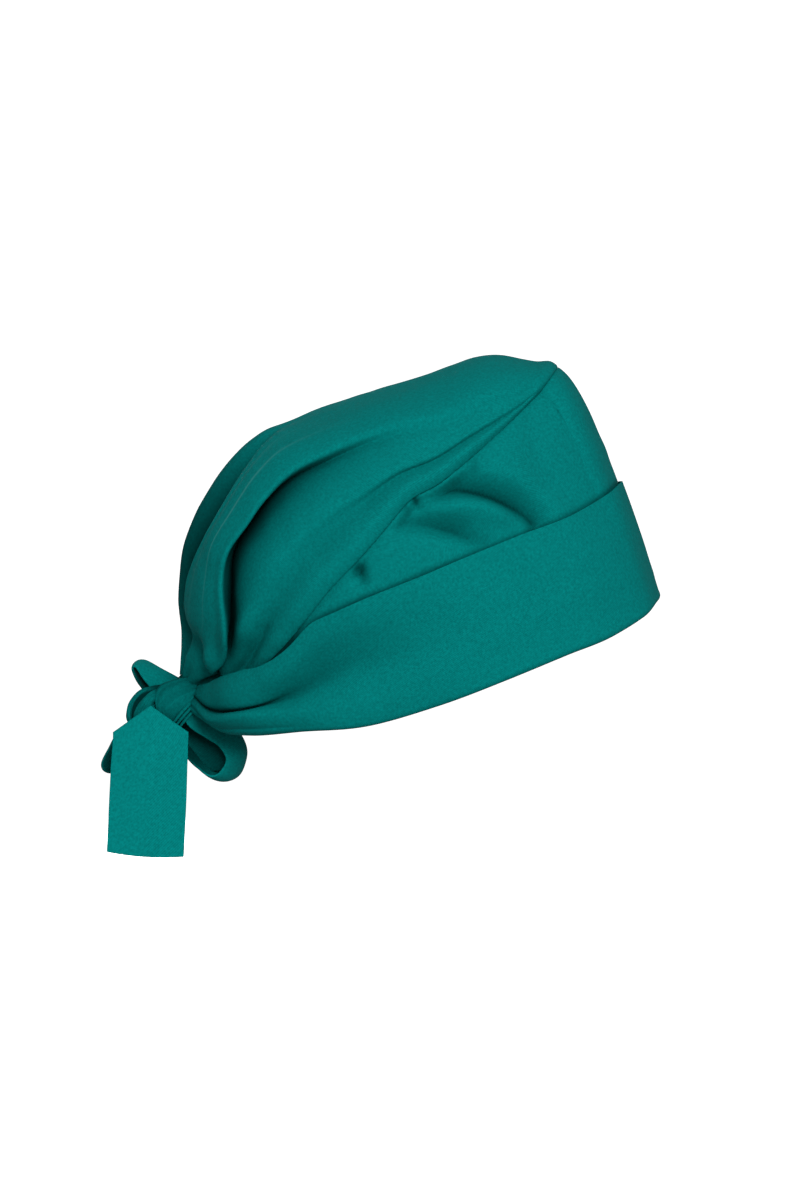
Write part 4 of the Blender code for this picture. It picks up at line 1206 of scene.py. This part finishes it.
def band_points(table):
    """A band of the tie drawn over the knot, with soft creases along it."""
    found = evenly(table, BAND_RUNS + 1)
    edge, other, swell = found[:, :3], found[:, 3:6], found[:, 6:]
    share = np.linspace(0, 1, BAND_COLUMNS + 1)[:, None, None]
    run = np.linspace(0, 1, BAND_RUNS + 1)[:, None]
    points = edge * (1 - share) + other * share
    crease = sum(
        height * np.sin(share * turn + run * drift) for height, turn, drift in BAND_CREASES
    )
    rise = swell * (1 - (2 * share - 1) ** 4) + crease * (1 - (2 * share - 1) ** 2)
    return KNOT_CENTRE + ((points + unit(points) * rise) * KNOT_HALVES) @ KNOT_AXES


# Rolled edges at the cuff's end: x, y, z of the middle line as shares of the knot's length
# from its centre, breadth and thickness as shares of TIE_WIDTH, and the turn of the breadth
# in degrees
STRIP = (
    (0.50, -0.08, 0.21, 0.05, 0.03, 50), (0.40, -0.28, 0.115, 0.055, 0.035, 50),
    (0.30, -0.385, 0.02, 0.06, 0.04, 55), (0.21, -0.41, -0.08, 0.06, 0.04, 60),
    (0.13, -0.39, -0.18, 0.055, 0.035, 60), (0.08, -0.34, -0.25, 0.04, 0.03, 60),
)
# Where the second and the third strip lie beside the first
STRIP_OFFSETS = {
    "strip_upper": (0.0, 0.0, 0.0),
    "strip_middle": (0.034, 0.016, -0.036),
    "strip_lower": (0.072, 0.040, -0.074),
}
STRAND_RUNS = 60
STRAND_SIDES = 22
# A strip rounds off over this share of its length at each end
STRAND_END = 0.04


def strand_points(table, offset):
    """A rolled strip: closed rings round a middle line, with closed ends."""
    found = evenly(table, STRAND_RUNS + 1)
    middle = KNOT_CENTRE + (found[:, :3] + np.array(offset)) * KNOT_LENGTH
    along = unit(np.gradient(middle, axis=0))
    breadth, thick, turn = found[:, 3:].T
    turn = np.radians(turn)
    side = np.stack([np.zeros_like(turn), np.sin(turn), np.cos(turn)], axis=-1)
    side = unit(side - along * np.sum(side * along, axis=-1, keepdims=True))
    other = np.cross(along, side)
    angle = np.linspace(0, 2 * math.pi, STRAND_SIDES + 1)
    to_end = 0.5 - np.abs(np.linspace(0, 1, STRAND_RUNS + 1) - 0.5)
    closing = np.sqrt(1 - np.clip(1 - to_end / STRAND_END, 0, 1) ** 2) * TIE_WIDTH / 2
    ring = (
        np.cos(angle)[:, None] * side[:, None] * (breadth * closing)[:, None, None]
        + np.sin(angle)[:, None] * other[:, None] * (thick * closing)[:, None, None]
    )
    return middle[:, None] + ring


# Where the gathered ends of the crown and the cuff go into the knot, drawn dark as painted shade
NECK_CENTRE = np.array([-0.508 * CAP_LENGTH, 0.0, -0.095 * CROWN_HEIGHT])
NECK_RADII = np.array([0.0085, 0.0095, 0.0085])
# The knot lies this far below its solid, under small gathers, in a grid of lifts and turns
KNOT_SINK = 0.0004
GATHERS = 0.0005
KNOT_LIFTS = 49
KNOT_TURNS = 97


class SCRUBCAP_OT_knot(bpy.types.Operator):
    """Models the knot, the strap over it, and the strips and turns of the tie round it"""

    bl_idname = "scrub_cap.knot"
    bl_label = "Knot"

    def execute(self, context):
        look = context.scene.scrub_cap_look
        # Painted shade: the knot, its strap, turns and strips are drawn darker than the cap, the
        # neck far darker
        cloth = twill("knot_twill", look, 0.6, level=0.76)
        lifts = np.radians(np.linspace(-90, 90, KNOT_LIFTS))
        turns = np.radians(np.linspace(0, 360, KNOT_TURNS))
        lift, turn = np.meshgrid(lifts, turns, indexing="ij")
        level = np.cos(lift)
        gathers = (GATHERS * np.sin(turn * 9 + lift * 4) * level**2)[..., None]
        ball = np.stack([np.cos(turn) * level, np.sin(turn) * level, np.sin(lift)], axis=-1)
        turned = ball[..., [0, 2, 1]]
        place = turned * KNOT_HALVES + unit(turned / KNOT_HALVES) * (gathers - KNOT_SINK)
        core = solid_piece("knot_core", KNOT_CENTRE + place @ KNOT_AXES)
        dressed(core, cloth, "tie_cloth", "knot")
        neck = solid_piece("knot_neck", NECK_CENTRE + ball * (NECK_RADII + gathers))
        dressed(neck, twill("neck_twill", look, 0.6, level=0.25), "tie_cloth")

        strap = cloth_piece("knot_strap", band_points(OVER_STRAP), look, band_shade((0.3, 0.2)))
        dressed(strap, cloth, "tie_cloth", "knot_wrap")
        turns_behind = (("strap_tongue", STRAP_TONGUE, 0.0), ("strap_behind", STRAP_BEHIND, 1.0))
        for name, table, inner in turns_behind:
            band = cloth_piece(name, band_points(table), look, band_shade((1.0, 0.4), inner))
            dressed(band, cloth, "tie_cloth")
        for name, offset in STRIP_OFFSETS.items():
            piece = solid_piece(name, strand_points(STRIP, offset))
            dressed(piece, cloth, "tie_cloth")
        return {"FINISHED"}


TAIL_ROWS = 73
TAIL_COLUMNS = 33
# The tail's hem bows down by this share of its length, its middle bows out by this much,
# and its top has painted shade under the knot
TAIL_HEM_BOW = 0.017
TAIL_BOW = 0.0006
TAIL_SHADE = 0.35
TAIL_SHADE_REACH = 0.10
LOOP_RUNS = 110
LOOP_COLUMNS = 20
# Painted shade on each loop's cloth from its start to its end, inside the loop most of all
LOOP_SHADES = {
    "loop_inner": (1.00, 0.85, 0.70, 0.80, 0.90),
    "loop_front": (0.90, 0.30, 0.05, 0.00, 0.00, 0.05, 0.20, 0.60, 0.90, 1.00, 1.00),
    "loop_back": (0.75, 0.60, 0.50, 0.50, 0.80, 1.00, 1.00, 1.00),
    "loop_top": (0.30, 0.05, 0.00, 0.40, 0.90, 1.00),
}


class SCRUBCAP_OT_ties(bpy.types.Operator):
    """Models the hanging tail and the loops of the tie"""

    bl_idname = "scrub_cap.ties"
    bl_label = "Tail and loops"

    def execute(self, context):
        look = context.scene.scrub_cap_look
        # Painted light: the tail and the loops are drawn lighter than the rest of the cap
        cloth = twill("tie_twill", look, 0.15, level=1.22)
        drop, back, stand, width, gable, slant = evenly(TAIL, TAIL_ROWS).T[..., None]
        down = np.linspace(0, 1, TAIL_ROWS)[:, None]
        side = np.linspace(-1, 1, TAIL_COLUMNS)
        x = side * width * TIE_WIDTH / 2 - (TAIL_BACK * KNOT_LENGTH + back * TAIL_LENGTH)
        y = -stand * KNOT_DEPTH - TAIL_BOW * (1 - side**2) * np.sin(down * math.pi)
        hem = TAIL_HEM_BOW * (1 - side**2) * down**3
        rise = gable * (1 - np.abs(side)) - slant * side - hem
        z = (rise - drop) * TAIL_LENGTH - TAIL_SEAT * KNOT_HEIGHT
        tucks = np.broadcast_to(TAIL_SHADE * np.exp(-down / TAIL_SHADE_REACH), x.shape)
        tail = cloth_piece("tail_cloth", KNOT_CENTRE + np.stack([x, y, z], axis=-1), look, tucks)
        dressed(tail, cloth, "tie_cloth", "tie_tail")
        loops = {
            "loop_front": (LOOP_FRONT, "tie_loop_front", (0.022, 0.080)),
            "loop_back": (LOOP_BACK, "tie_loop_back", (0.018, 0.060)),
            "loop_top": (LOOP_TOP, "tie_loop_top", (0.016, 0.040)),
            "loop_inner": (LOOP_INNER, None, (0.026, 0.030)),
        }
        for name, (table, node, flat) in loops.items():
            # Painted shade along each loop
            deep = LOOP_SHADES[name]
            deep = np.interp(np.linspace(0, 1, LOOP_RUNS + 1), np.linspace(0, 1, len(deep)), deep)
            loop = cloth_piece(name, loop_points(table), look, deep)
            dressed(loop, cloth, "tie_cloth", *([node] if node else []))
        return {"FINISHED"}


# Camera, at the photograph's angle: a pixel of the 800 x 1200 frame on the plane Y = 0, the
# frame's middle, and where in it the origin lies
PIXEL = 0.00047
FRAME_HEIGHT = 1200
FRAME_MIDDLE = (400, 600)
ORIGIN_PLACE = (435, 660)
CAMERA_DISTANCE = 1.5
CAMERA_LIFT = math.radians(3)
CAMERA_TARGET = Vector((
    (FRAME_MIDDLE[0] - ORIGIN_PLACE[0]) * PIXEL, 0.0, (ORIGIN_PLACE[1] - FRAME_MIDDLE[1]) * PIXEL
))


# Soft square lamps: place and size; the back lamp gives no gloss
LIGHTS = {
    "key": ((0.52, -2.75, 1.10), 1.1),
    "fill": ((-0.4, -0.9, 2.0), 1.2),
    "back": ((-0.8, 2.6, 0.5), 1.4),
}
LIGHT_TARGET = Vector((-0.02, 0.0, 0.03))
# The sky's brightness behind the cap, as a share of that behind the camera
SKY_BACK = 0.60
FLOOR_SIDES = 96
# The floor turns up into a wall over this radius, in so many steps, and the wall is so high
COVE_RADIUS = 1.0
COVE_STEPS = 8
COVE_WALL = 2.5


class SCRUBCAP_OT_stage(bpy.types.Operator):
    """Adds the pale floor, the soft lights and the camera"""

    bl_idname = "scrub_cap.stage"
    bl_label = "Stage"

    def execute(self, context):
        stage = context.scene.scrub_cap_stage
        mesh = bpy.data.meshes.new("floor")
        shape = bmesh.new()
        bmesh.ops.create_circle(
            shape, cap_ends=True, segments=FLOOR_SIDES, radius=stage.floor_radius
        )
        bmesh.ops.translate(shape, verts=shape.verts, vec=(0.0, 0.0, stage.floor_height))
        rim = [edge for edge in shape.edges if edge.is_boundary]
        for step in range(1, COVE_STEPS + 1):
            turn = math.pi / 2 * step / COVE_STEPS
            made = bmesh.ops.extrude_edge_only(shape, edges=rim)["geom"]
            rim = [part for part in made if isinstance(part, bmesh.types.BMEdge)]
            corners = [part for part in made if isinstance(part, bmesh.types.BMVert)]
            reach = stage.floor_radius + COVE_RADIUS * math.sin(turn)
            height = stage.floor_height + COVE_RADIUS * (1 - math.cos(turn))
            for vertex in corners:
                flat = Vector((vertex.co.x, vertex.co.y, 0.0)).normalized() * reach
                vertex.co = (flat.x, flat.y, height)
        made = bmesh.ops.extrude_edge_only(shape, edges=rim)["geom"]
        corners = [part for part in made if isinstance(part, bmesh.types.BMVert)]
        bmesh.ops.translate(shape, verts=corners, vec=(0.0, 0.0, COVE_WALL))
        shape.to_mesh(mesh)
        shape.free()
        mesh.shade_smooth()
        floor = bpy.data.objects.new("floor", mesh)
        context.scene.collection.objects.link(floor)
        paper = Finish("floor_paper")
        flecks = paper.noise(paper.node("ShaderNodeTexCoord")["Object"], 40.0, 2.0, 0.5)
        paper.plugs({
            "Base Color": paper.mixed((0.93, 0.93, 0.93, 1.0), (0.96, 0.96, 0.96, 1.0), flecks),
            "Roughness": 0.9,
            "Emission Color": (1.0, 1.0, 1.0, 1.0),
            "Emission Strength": 0.86,
        })
        mesh.materials.append(paper.material)
        floor.visible_diffuse = False
        floor.visible_glossy = False

        world = bpy.data.worlds.new("studio")
        world.use_nodes = True
        sky = Nodes(world.node_tree)
        way = sky.node("ShaderNodeTexCoord")["Generated"]
        depth = sky.node("ShaderNodeSeparateXYZ", values={"Vector": way})["Y"]
        levels = {
            "Value": depth, "From Min": 0.5, "From Max": -0.5,
            "To Min": stage.sky * SKY_BACK, "To Max": stage.sky,
        }
        smooth = {"interpolation_type": "SMOOTHSTEP"}
        level = sky.node("ShaderNodeMapRange", smooth, levels)["Result"]
        background = sky.tree.nodes["Background"]
        sky.plug(background.inputs["Strength"], level)
        sky.plug(background.inputs["Color"], (1.0, 1.0, 1.0, 1.0))
        context.scene.world = world
        for name, (place, size) in LIGHTS.items():
            lamp = bpy.data.lights.new(name, "AREA")
            lamp.shape = "SQUARE"
            lamp.size = size
            lamp.energy = getattr(stage, f"{name}_power")
            holder = bpy.data.objects.new(name, lamp)
            holder.location = place
            aim = LIGHT_TARGET - Vector(place)
            holder.rotation_euler = aim.to_track_quat("-Z", "Y").to_euler()
            holder.visible_glossy = name != "back"
            context.scene.collection.objects.link(holder)

        camera = bpy.data.cameras.new("camera")
        camera.sensor_width = 36.0
        camera.sensor_fit = "AUTO"
        camera.lens = camera.sensor_width * CAMERA_DISTANCE / (FRAME_HEIGHT * PIXEL)
        camera.clip_end = 50.0
        holder = bpy.data.objects.new("camera", camera)
        back = Vector((0.0, -math.cos(CAMERA_LIFT), math.sin(CAMERA_LIFT)))
        holder.location = CAMERA_TARGET + back * CAMERA_DISTANCE
        holder.rotation_euler = (-back).to_track_quat("-Z", "Y").to_euler()
        context.scene.collection.objects.link(holder)
        context.scene.camera = holder
        context.scene.view_settings.view_transform = "Standard"
        return {"FINISHED"}


STEPS = ("crown", "side_panel", "cuff", "knot", "ties", "stage")


class SCRUBCAP_PT_panel(bpy.types.Panel):
    """The cap's pieces and its looks"""

    bl_idname = "SCRUBCAP_PT_panel"
    bl_label = "Scrub cap"
    bl_space_type = "VIEW_3D"
    bl_region_type = "UI"
    bl_category = "Scrub cap"

    def draw(self, context):
        layout = self.layout
        for group in (context.scene.scrub_cap_look, context.scene.scrub_cap_stage):
            for name in group.__annotations__:
                layout.prop(group, name)
        for step in STEPS:
            layout.operator(f"scrub_cap.{step}")


CLASSES = (
    ScrubCapLook, ScrubCapStage, SCRUBCAP_OT_crown, SCRUBCAP_OT_side_panel, SCRUBCAP_OT_cuff,
    SCRUBCAP_OT_knot, SCRUBCAP_OT_ties, SCRUBCAP_OT_stage, SCRUBCAP_PT_panel,
)


def register():
    for kind in CLASSES:
        bpy.utils.register_class(kind)
    bpy.types.Scene.scrub_cap_look = bpy.props.PointerProperty(type=ScrubCapLook)
    bpy.types.Scene.scrub_cap_stage = bpy.props.PointerProperty(type=ScrubCapStage)


def unregister():
    del bpy.types.Scene.scrub_cap_stage
    del bpy.types.Scene.scrub_cap_look
    for kind in reversed(CLASSES):
        bpy.utils.unregister_class(kind)


def main():
    register()
    for step in STEPS:
        getattr(bpy.ops.scrub_cap, step)()


if __name__ == "__main__":
    main()
